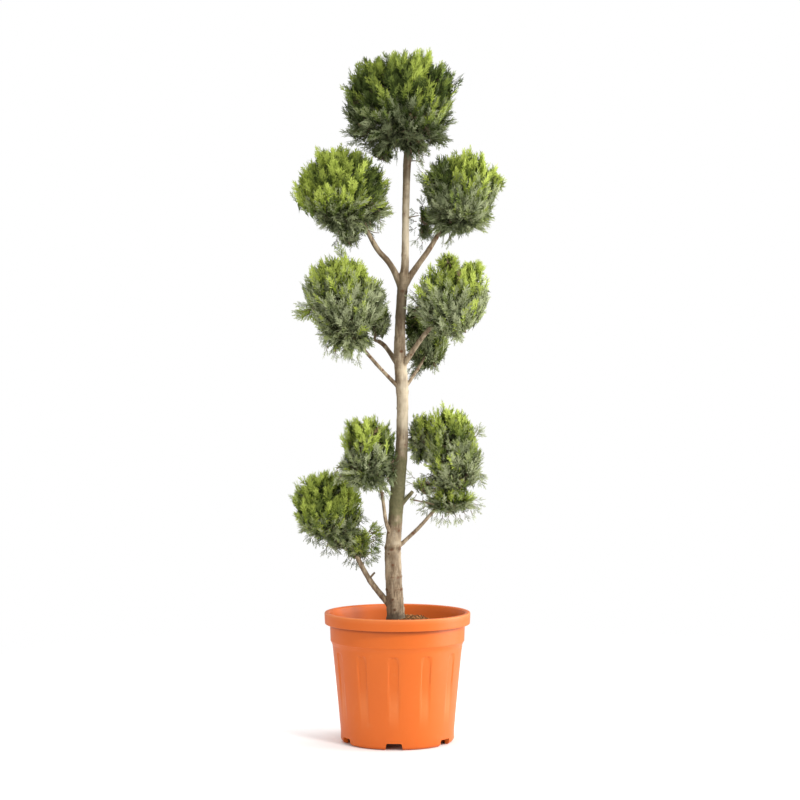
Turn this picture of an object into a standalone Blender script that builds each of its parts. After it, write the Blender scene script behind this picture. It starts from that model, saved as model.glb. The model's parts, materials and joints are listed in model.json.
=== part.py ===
# Leyland cypress clipped to pompoms, growing in an orange plastic pot.
# Metres, +Z up. The origin is the middle of the pot's underside and the plant's front faces -Y.

import math
import random
from collections import namedtuple

import bmesh
import bpy
from mathutils import Matrix, Vector

GAP = 0.0003                  # left between pieces that touch
MERGE = 0.00001               # points closer than this are one
UP = Vector((0.0, 0.0, 1.0))

# Pot: an 18 litre nursery pot, 340 mm across the rim.
POT_HEIGHT = 0.300
POT_WALL = 0.003
POT_TURN = math.radians(-3.3)  # how far the front notch stands off the middle
POT_COLUMNS = 48
RIM_RADIUS = 0.170
RIM_DEPTH = 0.027
RIM_LIP = 0.0115               # width of the rim's flat top
RIM_ROUND = 0.003
COLLAR_RADIUS = 0.157
COLLAR_FOOT = 0.2315           # height of the step under the collar
STEP_HEIGHT = 0.0065
BODY_RADIUS = 0.1512           # just under the step
FOOT_RADIUS = 0.1320           # where the foot begins to round in
FOOT_ROUND = 0.0068
FOOT_TOP = 0.026
FOOT_WIDTH = 0.006             # width of the ring that the pot stands on
FLOOR_UNDERSIDE = 0.018

FLUTES = 12                    # wide shallow grooves down the body
FLUTE_DEPTH = 0.0018
FLUTE_TOP = 0.213
FLUTE_FOOT = 0.050             # they have faded out here

NOTCHES = 6                    # gaps in the foot ring
NOTCH_HEIGHT = 0.0157
NOTCH_WIDTH = 0.040
NOTCH_NARROWING = 0.70         # width of a notch's top, as a share of its foot
NOTCH_REACH = 0.060

# Soil: a low mound round the trunk.
SOIL_TOP = 0.286
SOIL_CROWN_RADIUS = 0.034
SOIL_SLOPE_RADIUS = 0.100
SOIL_SLOPE_HEIGHT = 0.262
SOIL_EDGE_HEIGHT = 0.258
SOIL_COLUMNS = POT_COLUMNS // 2  # in line with the pot's columns, so the wall stays clear

# Trunk: where it stands and how thick it is at each height.
Station = namedtuple("Station", "height x y radius")
TRUNK = (
    Station(SOIL_TOP + GAP, -0.0046, 0.0, 0.0226),   # flat cut on the soil
    Station(0.298, -0.0046, 0.0, 0.0207),            # root flare runs out
    Station(0.360, -0.0092, 0.0, 0.0196),
    Station(0.440, -0.0120, 0.0, 0.0186),
    Station(0.500, -0.0068, 0.0, 0.0166),            # leans back to the right
    Station(0.580, 0.0005, 0.0, 0.0168),
    Station(0.680, 0.0106, 0.0, 0.0138),
    Station(0.780, 0.0124, 0.0, 0.0130),
    Station(0.832, 0.0104, 0.0, 0.0145),             # knot of the middle boughs
    Station(0.905, 0.0060, 0.0, 0.0134),
    Station(0.970, 0.0066, 0.0, 0.0122),
    Station(1.040, 0.0106, 0.0, 0.0122),
    Station(1.076, 0.0136, 0.0, 0.0134),             # main fork
    Station(1.108, 0.0176, 0.0, 0.0092),             # leader above the fork
    Station(1.225, 0.0193, 0.0, 0.0083),
    Station(1.320, 0.0222, 0.0, 0.0077),
    Station(1.370, 0.0262, 0.0, 0.0074),             # tip, in the foot of the top pompom
)
TRUNK_RINGS_PER_SPAN = 2
TRUNK_BEVEL = 3                # ten sides

# Boughs: height of the fork on the trunk, the bends and the tip, and the radii at each end.
Bough = namedtuple("Bough", "fork bends base_radius tip_radius")
BOUGHS = {
    "bough_lower_left": Bough(
        0.302, ((-0.0590, 0.008, 0.3696), (-0.0940, 0.018, 0.4265)), 0.0068, 0.0052),
    "bough_lower_left_high": Bough(
        0.470, ((-0.0251, -0.018, 0.5048), (-0.0339, -0.032, 0.5635), (-0.0387, -0.040, 0.5880)),
        0.0046, 0.0035),
    "bough_lower_right": Bough(
        0.440, ((0.0459, 0.006, 0.4909), (0.0890, 0.014, 0.5389)), 0.0047, 0.0039),
    "bough_lower_right_inner": Bough(
        0.532, ((0.0170, -0.004, 0.5590), (0.0355, -0.010, 0.5800)), 0.0058, 0.0040),
    "bough_mid_left": Bough(
        0.815, ((-0.0424, -0.018, 0.8694), (-0.0929, -0.035, 0.9279)), 0.0048, 0.0042),
    "bough_mid_left_back": Bough(
        0.866, ((-0.0264, 0.030, 0.9159), (-0.0450, 0.052, 0.9320)), 0.0062, 0.0048),
    "bough_mid_right": Bough(
        0.866, ((0.0570, -0.030, 0.9372), (0.0856, -0.055, 0.9685)), 0.0066, 0.0048),
    "bough_mid_back": Bough(
        0.812, ((0.0320, 0.026, 0.8420), (0.0573, 0.060, 0.8814)), 0.0042, 0.0036),
    "bough_upper_left": Bough(
        1.056, ((-0.0170, -0.005, 1.1090), (-0.0471, -0.011, 1.1442), (-0.0725, -0.018, 1.1900)),
        0.0086, 0.0057),
    "bough_upper_right": Bough(
        1.054, ((0.0435, 0.004, 1.1021), (0.0738, 0.010, 1.1447), (0.0984, 0.016, 1.1872)),
        0.0084, 0.0058),
}
BOUGH_RINGS_PER_SPAN = 2
BOUGH_BEVEL = 2                # eight sides
BOUGH_ENTRY = 0.90             # a bough ends this far out in its mass, where its stem goes on
BRANCH_COLLAR = 0.35           # extra thickness at the fork, as a share of the radius
COLLAR_LENGTH = 0.018

# Masses: the limb that each grows from, and the lobes that make up its clipped shape.
# A lobe is a squarish ball: middle, half sizes, the number of sprigs sent out to its skin, and
# whether it is dense enough for a core.
Lobe = namedtuple("Lobe", "middle half sprigs cored")
MASSES = {
    "mass_top": ("trunk", (
        Lobe((0.007, 0.000, 1.488), (0.134, 0.128, 0.121), 21, True),
        Lobe((-0.031, -0.012, 1.358), (0.022, 0.022, 0.026), 2, False))),
    "mass_upper_left": ("bough_upper_left", (
        Lobe((-0.130, -0.020, 1.279), (0.116, 0.108, 0.101), 15, True),
        Lobe((-0.128, -0.020, 1.160), (0.020, 0.020, 0.028), 2, False))),
    "mass_upper_right": ("bough_upper_right", (
        Lobe((0.150, 0.020, 1.272), (0.096, 0.096, 0.101), 13, True),
        Lobe((0.226, 0.020, 1.302), (0.032, 0.032, 0.028), 4, True),
        Lobe((0.060, 0.022, 1.207), (0.015, 0.015, 0.046), 2, False))),
    "mass_mid_left": ("bough_mid_left", (
        Lobe((-0.119, -0.048, 1.021), (0.103, 0.092, 0.123), 15, True),
        Lobe((-0.230, -0.045, 0.998), (0.020, 0.014, 0.013), 1, False))),
    "mass_mid_left_back": ("bough_mid_left_back", (
        Lobe((-0.052, 0.076, 0.968), (0.042, 0.040, 0.055), 7, True),)),
    "mass_mid_right": ("bough_mid_right", (
        Lobe((0.132, -0.034, 1.010), (0.087, 0.085, 0.091), 11, True),
        Lobe((0.122, -0.034, 1.119), (0.020, 0.022, 0.025), 1, False),
        Lobe((0.178, -0.034, 1.100), (0.024, 0.024, 0.023), 1, False))),
    "mass_mid_back": ("bough_mid_back", (
        Lobe((0.078, 0.110, 0.931), (0.060, 0.058, 0.086), 10, True),)),
    "mass_lower_left_high": ("bough_lower_left_high", (
        Lobe((-0.071, -0.062, 0.672), (0.063, 0.062, 0.087), 11, True),
        Lobe((-0.017, -0.048, 0.655), (0.018, 0.018, 0.066), 2, False))),
    "mass_lower_left": ("bough_lower_left", (
        Lobe((-0.164, 0.034, 0.541), (0.086, 0.084, 0.092), 14, True),
        Lobe((-0.062, 0.034, 0.463), (0.027, 0.027, 0.048), 2, False))),
    "mass_lower_right": ("bough_lower_right", (
        Lobe((0.137, 0.020, 0.662), (0.078, 0.078, 0.115), 12, True),
        Lobe((0.058, 0.034, 0.705), (0.032, 0.030, 0.060), 3, True),
        Lobe((0.127, 0.020, 0.540), (0.056, 0.050, 0.034), 2, False))),
}
SQUARENESS = 2.5               # 2 is an ellipsoid, more is boxier
CORE_SHARE = 0.74              # size of a core in its lobe
CORE_ROUGHNESS = 0.10
HUB_DROP = 0.25                # how far under the middle the stem ends, as a share of the height

STEM_BEVEL = 1                 # six sides
STEM_RINGS = 4
STEM_TAPER = 0.7
STEM_BEND = 0.35               # share of the way that a stem keeps its bough's direction
LINK_RADIUS = 0.0036           # of the shoot that carries a side lobe
TWIG_SIDES = 3
TWIG_RADIUS = 0.0030
TWIG_TIP_RADIUS = 0.0015
TWIG_INTO_SPRAY = 0.12         # share of a spray that its twig runs into
TWIG_CHECK = 0.8               # where along a twig its room is tested

SPRAY_LENGTH = 0.064           # in a full-sized pompom
SPRAY_LOBE_SHARE = 1.15        # of a lobe's mean half size: the spray length in a small one
SPRAY_LEAST_SHARE = 0.55       # a shorter side spray than this is left off
SPRAY_MOST_SHARE = 1.15
TUFT_LENGTHS = (0.9, 1.1)      # of single sprays, as shares of the lobe's own spray length
END_LENGTHS = (0.85, 1.0)      # of sprays at a twig's end
SPRAY_THICKNESS = 0.07         # as a share of the length
SPRAY_LIFT = 0.55              # how much the foliage turns up, except underneath
UNDERSIDE = -0.35
SPRAY_SWAY = 0.45              # how much it leans sideways
SPRAY_ROLL = math.radians(35.0)  # how far a spray's face turns from facing out
SIDE_ANGLE = math.radians(70.0)
SIDE_SPREAD = 1.4              # how far a side spray swings away from its twig
SIDE_START = (0.60, 0.78)      # where side sprays leave their twig
SPRIGS_PER_TWIG = 4            # in a cored lobe every fourth sprig is a twig, the others single sprays
LIMB_CLEARANCE = 0.004
SPACE_MARGIN = 0.05            # kept between two masses' spaces
SPACE_OVERRUN = 1.12            # a spray's teeth may stand this far out of its lobe
GOLDEN_TURN = math.pi * (3.0 - math.sqrt(5.0))

# Half of a spray's toothed outline, from the tip to the root: along its length, and out from its rib.
SPRAY_OUTLINE = (
    (1.00, 0.000),
    (0.62, 0.120),
    (0.70, 0.350),
    (0.00, 0.040),
)
SPRAY_RIB = 0.45

COLOURS = {
    "pot": ((0.83, 0.20, 0.04), 0.45),
    "soil": ((0.05, 0.028, 0.015), 0.95),
    "bark": ((0.38, 0.28, 0.18), 0.85),
    "foliage": ((0.09, 0.17, 0.03), 0.80),
}


def clear_scene():
    for item in list(bpy.data.objects):
        bpy.data.objects.remove(item, do_unlink=True)


def make_collection(name):
    collection = bpy.data.collections.new(name)
    bpy.context.scene.collection.children.link(collection)
    return collection


def make_material(name, kind):
    colour, roughness = COLOURS[kind]
    material = bpy.data.materials.new(name)
    material.use_nodes = True
    shader = material.node_tree.nodes["Principled BSDF"]
    shader.inputs["Base Color"].default_value = (*colour, 1.0)
    shader.inputs["Roughness"].default_value = roughness
    shader.inputs["Metallic"].default_value = 0.0
    return material


def add_object(name, data, collection):
    item = bpy.data.objects.new(name, data)
    collection.objects.link(item)
    return item


def evaluated_mesh(item):
    # The object's mesh with its modifiers worked out.
    bpy.context.view_layer.update()
    graph = bpy.context.evaluated_depsgraph_get()
    return bpy.data.meshes.new_from_object(item.evaluated_get(graph))


def bake_modifiers(item):
    mesh = evaluated_mesh(item)
    old = item.data
    item.modifiers.clear()
    item.data = mesh
    bpy.data.meshes.remove(old)


def weld(mesh):
    shape = bmesh.new()
    shape.from_mesh(mesh)
    bmesh.ops.remove_doubles(shape, verts=shape.verts, dist=MERGE)
    shape.to_mesh(mesh)
    shape.free()


def turned(name, profile, columns, collection):
    # A profile of (radius, height) points turned about Z; it runs down its outer side.
    mesh = bpy.data.meshes.new(name)
    points = [(radius, 0.0, height) for radius, height in profile]
    mesh.from_pydata(points, [(i, i + 1) for i in range(len(points) - 1)], [])
    item = add_object(name, mesh, collection)
    screw = item.modifiers.new("turn", "SCREW")
    screw.steps = columns
    screw.render_steps = columns
    screw.use_merge_vertices = True
    screw.merge_threshold = MERGE
    bake_modifiers(item)
    return item


def shade_round(mesh):
    mesh.shade_smooth()
    mesh.set_sharp_from_angle(angle=math.radians(35.0))


def body_radius(height):
    # Outer radius of the pot's tapering body.
    share = (height - FOOT_TOP) / (COLLAR_FOOT - STEP_HEIGHT - FOOT_TOP)
    return FOOT_RADIUS + (BODY_RADIUS - FOOT_RADIUS) * share


def inner_wall(clearance):
    # The inside of the pot's wall from the floor up to the collar, moved in by a clearance.
    floor_top = FLOOR_UNDERSIDE + POT_WALL
    step_foot = COLLAR_FOOT - STEP_HEIGHT
    return [
        (body_radius(floor_top) - POT_WALL - clearance, floor_top + clearance),
        (BODY_RADIUS - POT_WALL - clearance, step_foot),
        (COLLAR_RADIUS - 1.5 * POT_WALL - clearance, COLLAR_FOOT),
    ]


def pot_profile():
    rim_foot = POT_HEIGHT - RIM_DEPTH
    profile = [(0.0, FLOOR_UNDERSIDE + POT_WALL)]
    profile += inner_wall(0.0)
    profile.append((COLLAR_RADIUS - POT_WALL, POT_HEIGHT - 4.0 * RIM_ROUND))
    profile.append((RIM_RADIUS - RIM_LIP, POT_HEIGHT))
    profile.append((RIM_RADIUS - 1.6 * RIM_ROUND, POT_HEIGHT))
    profile.append((RIM_RADIUS - 0.7 * RIM_ROUND, POT_HEIGHT - RIM_ROUND))
    profile.append((RIM_RADIUS, rim_foot + 2.5 * RIM_ROUND))
    profile.append((RIM_RADIUS - 1.2 * RIM_ROUND, rim_foot))
    profile.append((COLLAR_RADIUS, rim_foot))
    profile.append((COLLAR_RADIUS - 0.5 * POT_WALL, COLLAR_FOOT))
    profile.append((BODY_RADIUS, COLLAR_FOOT - STEP_HEIGHT))
    for height in (FLUTE_TOP, FLUTE_FOOT, FOOT_TOP):
        profile.append((body_radius(height), height))
    profile.append((FOOT_RADIUS - 0.5 * FOOT_ROUND, FOOT_ROUND))
    profile.append((FOOT_RADIUS - FOOT_ROUND, 0.0))
    profile.append((FOOT_RADIUS - FOOT_ROUND - FOOT_WIDTH, 0.0))
    profile.append((FOOT_RADIUS - FOOT_ROUND - FOOT_WIDTH, FLOOR_UNDERSIDE))
    profile.append((0.0, FLOOR_UNDERSIDE))
    return profile


def flute_depth(height):
    if height > FLUTE_TOP + MERGE or height < FLUTE_FOOT - MERGE:
        return 0.0
    return FLUTE_DEPTH * (height - FLUTE_FOOT) / (FLUTE_TOP - FLUTE_FOOT)


def press_flutes(mesh):
    # Every fourth column of the outer wall is pushed in.
    spacing = 2.0 * math.pi / FLUTES
    for vertex in mesh.vertices:
        point = vertex.co
        radius = math.hypot(point.x, point.y)
        turns = math.atan2(point.y, point.x) / spacing
        in_groove = abs(turns - round(turns)) < 0.1
        on_outside = radius > body_radius(point.z) - 0.5 * POT_WALL
        if in_groove and on_outside:
            share = (radius - flute_depth(point.z)) / radius
            point.x *= share
            point.y *= share


def make_notch(index, cutters):
    mesh = bpy.data.meshes.new("notch_%d" % index)
    shape = bmesh.new()
    bmesh.ops.create_cube(shape, size=1.0)
    for vertex in shape.verts:
        on_top = vertex.co.z > 0.0
        narrowing = NOTCH_NARROWING if on_top else 1.0
        vertex.co.x *= NOTCH_WIDTH * narrowing
        vertex.co.y *= NOTCH_REACH
        vertex.co.z = NOTCH_HEIGHT if on_top else -NOTCH_HEIGHT
    shape.to_mesh(mesh)
    shape.free()
    notch = add_object(mesh.name, mesh, cutters)
    turn = Matrix.Rotation(index * 2.0 * math.pi / NOTCHES, 4, "Z")
    notch.matrix_world = turn @ Matrix.Translation((0.0, -FOOT_RADIUS, 0.0))
    notch.hide_render = True
    notch.display_type = "WIRE"


def make_pot(parts, cutters):
    pot = turned("pot", pot_profile(), POT_COLUMNS, parts)
    press_flutes(pot.data)
    for index in range(NOTCHES):
        make_notch(index, cutters)
    cut = pot.modifiers.new("notches", "BOOLEAN")
    cut.operation = "DIFFERENCE"
    cut.operand_type = "COLLECTION"
    cut.collection = cutters
    cut.solver = "EXACT"
    bake_modifiers(pot)
    pot.data.transform(Matrix.Rotation(POT_TURN, 4, "Z"))
    shade_round(pot.data)
    pot.data.materials.append(make_material("orange_plastic", "pot"))
    return pot


def make_soil(parts):
    wall = inner_wall(GAP)
    profile = [
        (0.0, SOIL_TOP),
        (SOIL_CROWN_RADIUS, SOIL_TOP),
        (SOIL_SLOPE_RADIUS, SOIL_SLOPE_HEIGHT),
        (wall[2][0], SOIL_EDGE_HEIGHT),
        wall[2],
        wall[1],
        wall[0],
        (0.0, wall[0][1]),
    ]
    soil = turned("soil", profile, SOIL_COLUMNS, parts)
    soil.data.transform(Matrix.Rotation(POT_TURN, 4, "Z"))
    shade_round(soil.data)
    soil.data.materials.append(make_material("potting_soil", "soil"))
    return soil


def smooth_path(points, rings_per_span):
    # Catmull-Rom through the points; each point is any tuple of numbers.
    padded = [points[0], *points, points[-1]]
    path = []
    for span in range(len(points) - 1):
        a, b, c, d = padded[span:span + 4]
        for ring in range(rings_per_span):
            t = ring / rings_per_span
            path.append(tuple(
                0.5 * (2 * q + (r - p) * t + (2 * p - 5 * q + 4 * r - s) * t ** 2
                       + (3 * q - p - 3 * r + s) * t ** 3)
                for p, q, r, s in zip(a, b, c, d)))
    path.append(tuple(points[-1]))
    return path


def limb_mesh(name, points, radii, bevel, collection):
    # A tapering round limb with closed ends, as a welded mesh.
    curve = bpy.data.curves.new(name, "CURVE")
    curve.dimensions = "3D"
    curve.bevel_depth = 1.0
    curve.bevel_resolution = bevel
    curve.use_fill_caps = True
    spline = curve.splines.new("POLY")
    spline.points.add(len(points) - 1)
    for slot, point, radius in zip(spline.points, points, radii):
        slot.co = (*point, 1.0)
        slot.radius = radius
    guide = add_object(name + "_line", curve, collection)
    mesh = evaluated_mesh(guide)
    bpy.data.objects.remove(guide, do_unlink=True)
    bpy.data.curves.remove(curve)
    mesh.name = name
    weld(mesh)
    return add_object(name, mesh, collection)


def trunk_line():
    stations = [(s.x, s.y, s.height, s.radius) for s in TRUNK]
    smoothed = smooth_path(stations[1:], TRUNK_RINGS_PER_SPAN)
    rings = [stations[0], *smoothed]
    return [Vector(ring[:3]) for ring in rings], [ring[3] for ring in rings]


def trunk_axis(height):
    for low, high in zip(TRUNK, TRUNK[1:]):
        if height <= high.height:
            share = (height - low.height) / (high.height - low.height)
            return Vector((low.x + (high.x - low.x) * share, low.y + (high.y - low.y) * share, height))
    return Vector((TRUNK[-1].x, TRUNK[-1].y, height))


def end_at_mass(path, lobe):
    # The part of a bough's path that is outside its mass, with its end on the way in.
    outside = [point for point in path if lobe_value(lobe, point) > BOUGH_ENTRY]
    if len(outside) == len(path):
        return path
    last, inner = outside[-1], path[len(outside)]
    low, high = lobe_value(lobe, last), lobe_value(lobe, inner)
    return [*outside, last.lerp(inner, (low - BOUGH_ENTRY) / (low - high))]


def bough_line(name, bough):
    start = trunk_axis(bough.fork)
    path = [Vector(p) for p in smooth_path([tuple(start), *bough.bends], BOUGH_RINGS_PER_SPAN)]
    for limb, lobes in MASSES.values():
        if limb == name:
            path = end_at_mass(path, lobes[0])
    lengths = [0.0]
    for a, b in zip(path, path[1:]):
        lengths.append(lengths[-1] + (b - a).length)
    radii = []
    for length in lengths:
        radius = bough.base_radius + (bough.tip_radius - bough.base_radius) * length / lengths[-1]
        radii.append(radius * (1.0 + BRANCH_COLLAR * math.exp(-length / COLLAR_LENGTH)))
    return path, radii


def make_limbs(parts, cutters):
    # The trunk and its boughs; each bough is cut to sit on the trunk's surface.
    lines = {"trunk": trunk_line()}
    trunk = limb_mesh("trunk", *lines["trunk"], TRUNK_BEVEL, parts)
    shade_round(trunk.data)
    trunk.data.materials.append(make_material("bark_trunk", "bark"))
    points, radii = lines["trunk"]
    seat = limb_mesh("trunk_seat", points, [radius + GAP for radius in radii], TRUNK_BEVEL, cutters)
    seat.hide_render = True
    seat.display_type = "WIRE"
    for name, bough in BOUGHS.items():
        lines[name] = bough_line(name, bough)
        limb = limb_mesh(name, *lines[name], BOUGH_BEVEL, parts)
        cut = limb.modifiers.new("seat", "BOOLEAN")
        cut.operation = "DIFFERENCE"
        cut.object = seat
        cut.solver = "EXACT"
        bake_modifiers(limb)
        shade_round(limb.data)
        limb.data.materials.append(make_material("bark_" + name, "bark"))
    return lines


def lobe_value(lobe, point):
    # Under 1 inside the lobe, 1 on its skin.
    total = sum((abs(p - m) / h) ** SQUARENESS for p, m, h in zip(point, lobe.middle, lobe.half))
    return total ** (1.0 / SQUARENESS)


def space_value(name, point):
    return min(lobe_value(lobe, point) for lobe in MASSES[name][1])


def skin_point(lobe, direction):
    reach = Vector([d * h for d, h in zip(direction, lobe.half)])
    middle = Vector(lobe.middle)
    return middle + reach / lobe_value(lobe, middle + reach)


def even_direction(index, count, turn):
    # One of a number of directions spread evenly over a sphere, from straight up to straight down.
    height = 1.0 - 2.0 * index / max(count - 1, 1)
    ring = math.sqrt(max(0.0, 1.0 - height * height))
    angle = turn + GOLDEN_TURN * index
    return Vector((ring * math.cos(angle), ring * math.sin(angle), height))


def limb_distance(point, line):
    # From a point to a limb's surface.
    nearest = 1.0
    for a, b, radius in zip(line[0], line[0][1:], line[1]):
        along = b - a
        share = max(0.0, min(1.0, (point - a).dot(along) / along.length_squared))
        nearest = min(nearest, (point - a - along * share).length - radius)
    return nearest


def is_free(name, point, lines):
    # Inside the mass's own space, out of every other's, and clear of every limb.
    own = space_value(name, point)
    if own > SPACE_OVERRUN:
        return False
    for other in MASSES:
        if other != name and space_value(other, point) < own + SPACE_MARGIN:
            return False
    return all(limb_distance(point, line) > LIMB_CLEARANCE for line in lines.values())


def make_spray_mesh():
    # A toothed blade a metre long: a two-sided pyramid whose rim is pulled out to teeth.
    mesh = bpy.data.meshes.new("spray")
    corners = 2 * len(SPRAY_OUTLINE) - 1
    shape = bmesh.new()
    bmesh.ops.create_uvsphere(shape, u_segments=corners, v_segments=2, radius=1.0)
    for vertex in shape.verts:
        if abs(vertex.co.z) > 0.5:
            vertex.co = (0.0, SPRAY_RIB, math.copysign(SPRAY_THICKNESS / 2.0, vertex.co.z))
            continue
        angle = math.atan2(vertex.co.x, vertex.co.y)
        along, out = SPRAY_OUTLINE[round(abs(angle) * corners / (2.0 * math.pi))]
        vertex.co = (math.copysign(out, angle), along, 0.0)
    shape.to_mesh(mesh)
    shape.free()
    return mesh


def blade_frame(root, tip, outward, roll):
    # Puts a blade's rib from root to tip and its face outward, turned about the rib by roll.
    rib = (tip - root).normalized()
    side = Matrix.Rotation(roll, 3, rib) @ rib.cross(outward).normalized()
    face = side.cross(rib)
    turn = Matrix((side, rib, face)).transposed().to_4x4()
    return Matrix.Translation(root) @ turn @ Matrix.Scale((tip - root).length, 4)


def add_twig(name, start, end, radius, tip_radius, pieces):
    mesh = bpy.data.meshes.new(name)
    shape = bmesh.new()
    bmesh.ops.create_cone(
        shape, cap_ends=True, segments=TWIG_SIDES, radius1=radius, radius2=tip_radius,
        depth=(end - start).length)
    shape.to_mesh(mesh)
    shape.free()
    twig = add_object(name, mesh, pieces)
    turn = UP.rotation_difference(end - start).to_matrix().to_4x4()
    twig.matrix_world = Matrix.Translation((start + end) / 2.0) @ turn


def add_core(name, lobe, fineness, chance, collection):
    mesh = bpy.data.meshes.new(name)
    shape = bmesh.new()
    bmesh.ops.create_icosphere(shape, subdivisions=fineness, radius=1.0)
    middle = Vector(lobe.middle)
    for vertex in shape.verts:
        share = CORE_SHARE * (1.0 + chance.uniform(-CORE_ROUGHNESS, CORE_ROUGHNESS))
        vertex.co = middle + (skin_point(lobe, vertex.co) - middle) * share
    shape.to_mesh(mesh)
    shape.free()
    return add_object(name, mesh, collection)


def blade_is_free(name, root, tip, frame, lines):
    # Tests the tip, the two teeth and the outer half of the rib.
    samples = [tip, root.lerp(tip, 0.4), root.lerp(tip, 0.7)]
    along, out = SPRAY_OUTLINE[2]
    samples += [frame @ Vector((out, along, 0.0)), frame @ Vector((-out, along, 0.0))]
    return all(is_free(name, sample, lines) for sample in samples)


def side_tip(name, start, heading, longest):
    # The furthest point along the heading that is still in the mass's space.
    steps = 20
    tip = start
    for step in range(1, steps + 1):
        point = start + heading * (longest * step / steps)
        if space_value(name, point) > 1.0:
            break
        tip = point
    return tip


def spray_length(lobe):
    return min(SPRAY_LENGTH, SPRAY_LOBE_SHARE * sum(lobe.half) / 3.0)


def spray_heading(outward, chance):
    # Foliage grows outward, turns up and leans a little to one side.
    lift = SPRAY_LIFT if outward.z > UNDERSIDE else 0.0
    lean = Matrix.Rotation(chance.uniform(0.0, 2.0 * math.pi), 3, outward) @ outward.orthogonal()
    return (outward + UP * lift + lean.normalized() * SPRAY_SWAY).normalized()


def grow_tuft(name, lobe, outward, chance, spray, lines, pieces):
    # One spray that stands out of the core, for the short shoots between the twigs.
    skin = skin_point(lobe, outward)
    root = skin - spray_heading(outward, chance) * spray_length(lobe) * chance.uniform(*TUFT_LENGTHS)
    frame = blade_frame(root, skin, outward, chance.uniform(-SPRAY_ROLL, SPRAY_ROLL))
    if blade_is_free(name, root, skin, frame, lines):
        add_object("%s_tuft_%03d" % (name, len(pieces.objects)), spray, pieces).matrix_world = frame


def grow_twig(name, source, lobe, outward, chance, spray, lines, pieces):
    # One twig from the stem to the skin, with a spray at its end and one on either side.
    skin = skin_point(lobe, outward)
    typical = spray_length(lobe)
    heading = spray_heading(outward, chance)
    root = skin - heading * typical * chance.uniform(*END_LENGTHS)
    rolls = [chance.uniform(-SPRAY_ROLL, SPRAY_ROLL) for _ in range(3)]
    starts = [chance.uniform(*SIDE_START) for _ in range(2)]
    frame = blade_frame(root, skin, outward, rolls[0])
    if not (blade_is_free(name, root, skin, frame, lines)
            and is_free(name, source.lerp(root, TWIG_CHECK), lines)):
        return
    label = "%s_twig_%03d" % (name, len(pieces.objects))
    add_twig(label, source, root.lerp(skin, TWIG_INTO_SPRAY), TWIG_RADIUS, TWIG_TIP_RADIUS, pieces)
    add_object(label + "_end", spray, pieces).matrix_world = frame
    for side, start_share, roll in zip((-1.0, 1.0), starts, rolls[1:]):
        start = source.lerp(root, start_share)
        side_heading = Matrix.Rotation(side * SIDE_ANGLE, 3, outward) @ heading
        side_heading = (side_heading + side * heading.cross(outward) * SIDE_SPREAD).normalized()
        tip = side_tip(name, start, side_heading, typical * SPRAY_MOST_SHARE)
        if (tip - start).length < typical * SPRAY_LEAST_SHARE:
            continue
        frame = blade_frame(start, tip, outward, roll)
        if blade_is_free(name, start, tip, frame, lines):
            add_object(label + "_side", spray, pieces).matrix_world = frame


def keep_one_body(mesh):
    # Fills hollows sealed by the fusing and drops loose scraps: only the largest body stays.
    shape = bmesh.new()
    shape.from_mesh(mesh)
    bmesh.ops.remove_doubles(shape, verts=shape.verts, dist=MERGE / 10.0)
    bmesh.ops.triangulate(shape, faces=shape.faces)
    waiting = set(shape.faces)
    bodies = []
    while waiting:
        body = [waiting.pop()]
        for face in body:
            for edge in face.edges:
                for linked in edge.link_faces:
                    if linked in waiting:
                        waiting.remove(linked)
                        body.append(linked)
        bodies.append(body)

    def volume(body):
        corners = [[loop.vert.co for loop in face.loops] for face in body]
        return sum(a.dot(b.cross(c)) for a, b, c in corners) / 6.0

    bodies.sort(key=volume)
    extra = [face for body in bodies[:-1] for face in body]
    bmesh.ops.delete(shape, geom=extra, context="FACES")
    shape.to_mesh(mesh)
    shape.free()


def fuse(core, pieces):
    union = core.modifiers.new("fuse", "BOOLEAN")
    union.operation = "UNION"
    union.operand_type = "COLLECTION"
    union.collection = pieces
    union.solver = "MANIFOLD"
    bake_modifiers(core)
    for piece in list(pieces.objects):
        bpy.data.objects.remove(piece, do_unlink=True)
    bpy.data.collections.remove(pieces)
    keep_one_body(core.data)


def make_mass(seed, name, spray, lines, parts):
    chance = random.Random(seed)
    limb, lobes = MASSES[name]
    pieces = make_collection(name + "_pieces")
    main = lobes[0]
    core = add_core(name, main, 2, chance, parts)

    tip, before = lines[limb][0][-1], lines[limb][0][-2]
    forward = (tip - before).normalized()
    hub = Vector(main.middle) - UP * main.half[2] * HUB_DROP
    start = tip + forward * GAP
    bend = start + forward * (hub - start).length * STEM_BEND
    stem = [Vector(p) for p in smooth_path([tuple(start), tuple(bend), tuple(hub)], STEM_RINGS)]
    tip_radius = lines[limb][1][-1]
    radii = [tip_radius * (1.0 - (1.0 - STEM_TAPER) * i / (len(stem) - 1)) for i in range(len(stem))]
    stem[1] = start + forward * (stem[1] - start).length
    limb_mesh(name + "_stem", stem, radii, STEM_BEVEL, pieces)

    for number, lobe in enumerate(lobes):
        source = hub
        if number > 0:
            source = Vector(lobe.middle)
            add_twig("%s_link_%d" % (name, number), hub, source, LINK_RADIUS, TWIG_RADIUS, pieces)
            if lobe.cored:
                add_core("%s_core_%d" % (name, number), lobe, 1, chance, pieces)
        away = math.atan2(lobe.middle[1], lobe.middle[0])
        turn = away - GOLDEN_TURN * (lobe.sprigs // 2)
        for index in range(lobe.sprigs):
            outward = even_direction(index, lobe.sprigs, turn)
            if lobe.cored and index % SPRIGS_PER_TWIG:
                grow_tuft(name, lobe, outward, chance, spray, lines, pieces)
            else:
                grow_twig(name, source, lobe, outward, chance, spray, lines, pieces)
    fuse(core, pieces)
    core.data.materials.append(make_material("foliage_" + name, "foliage"))


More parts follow.
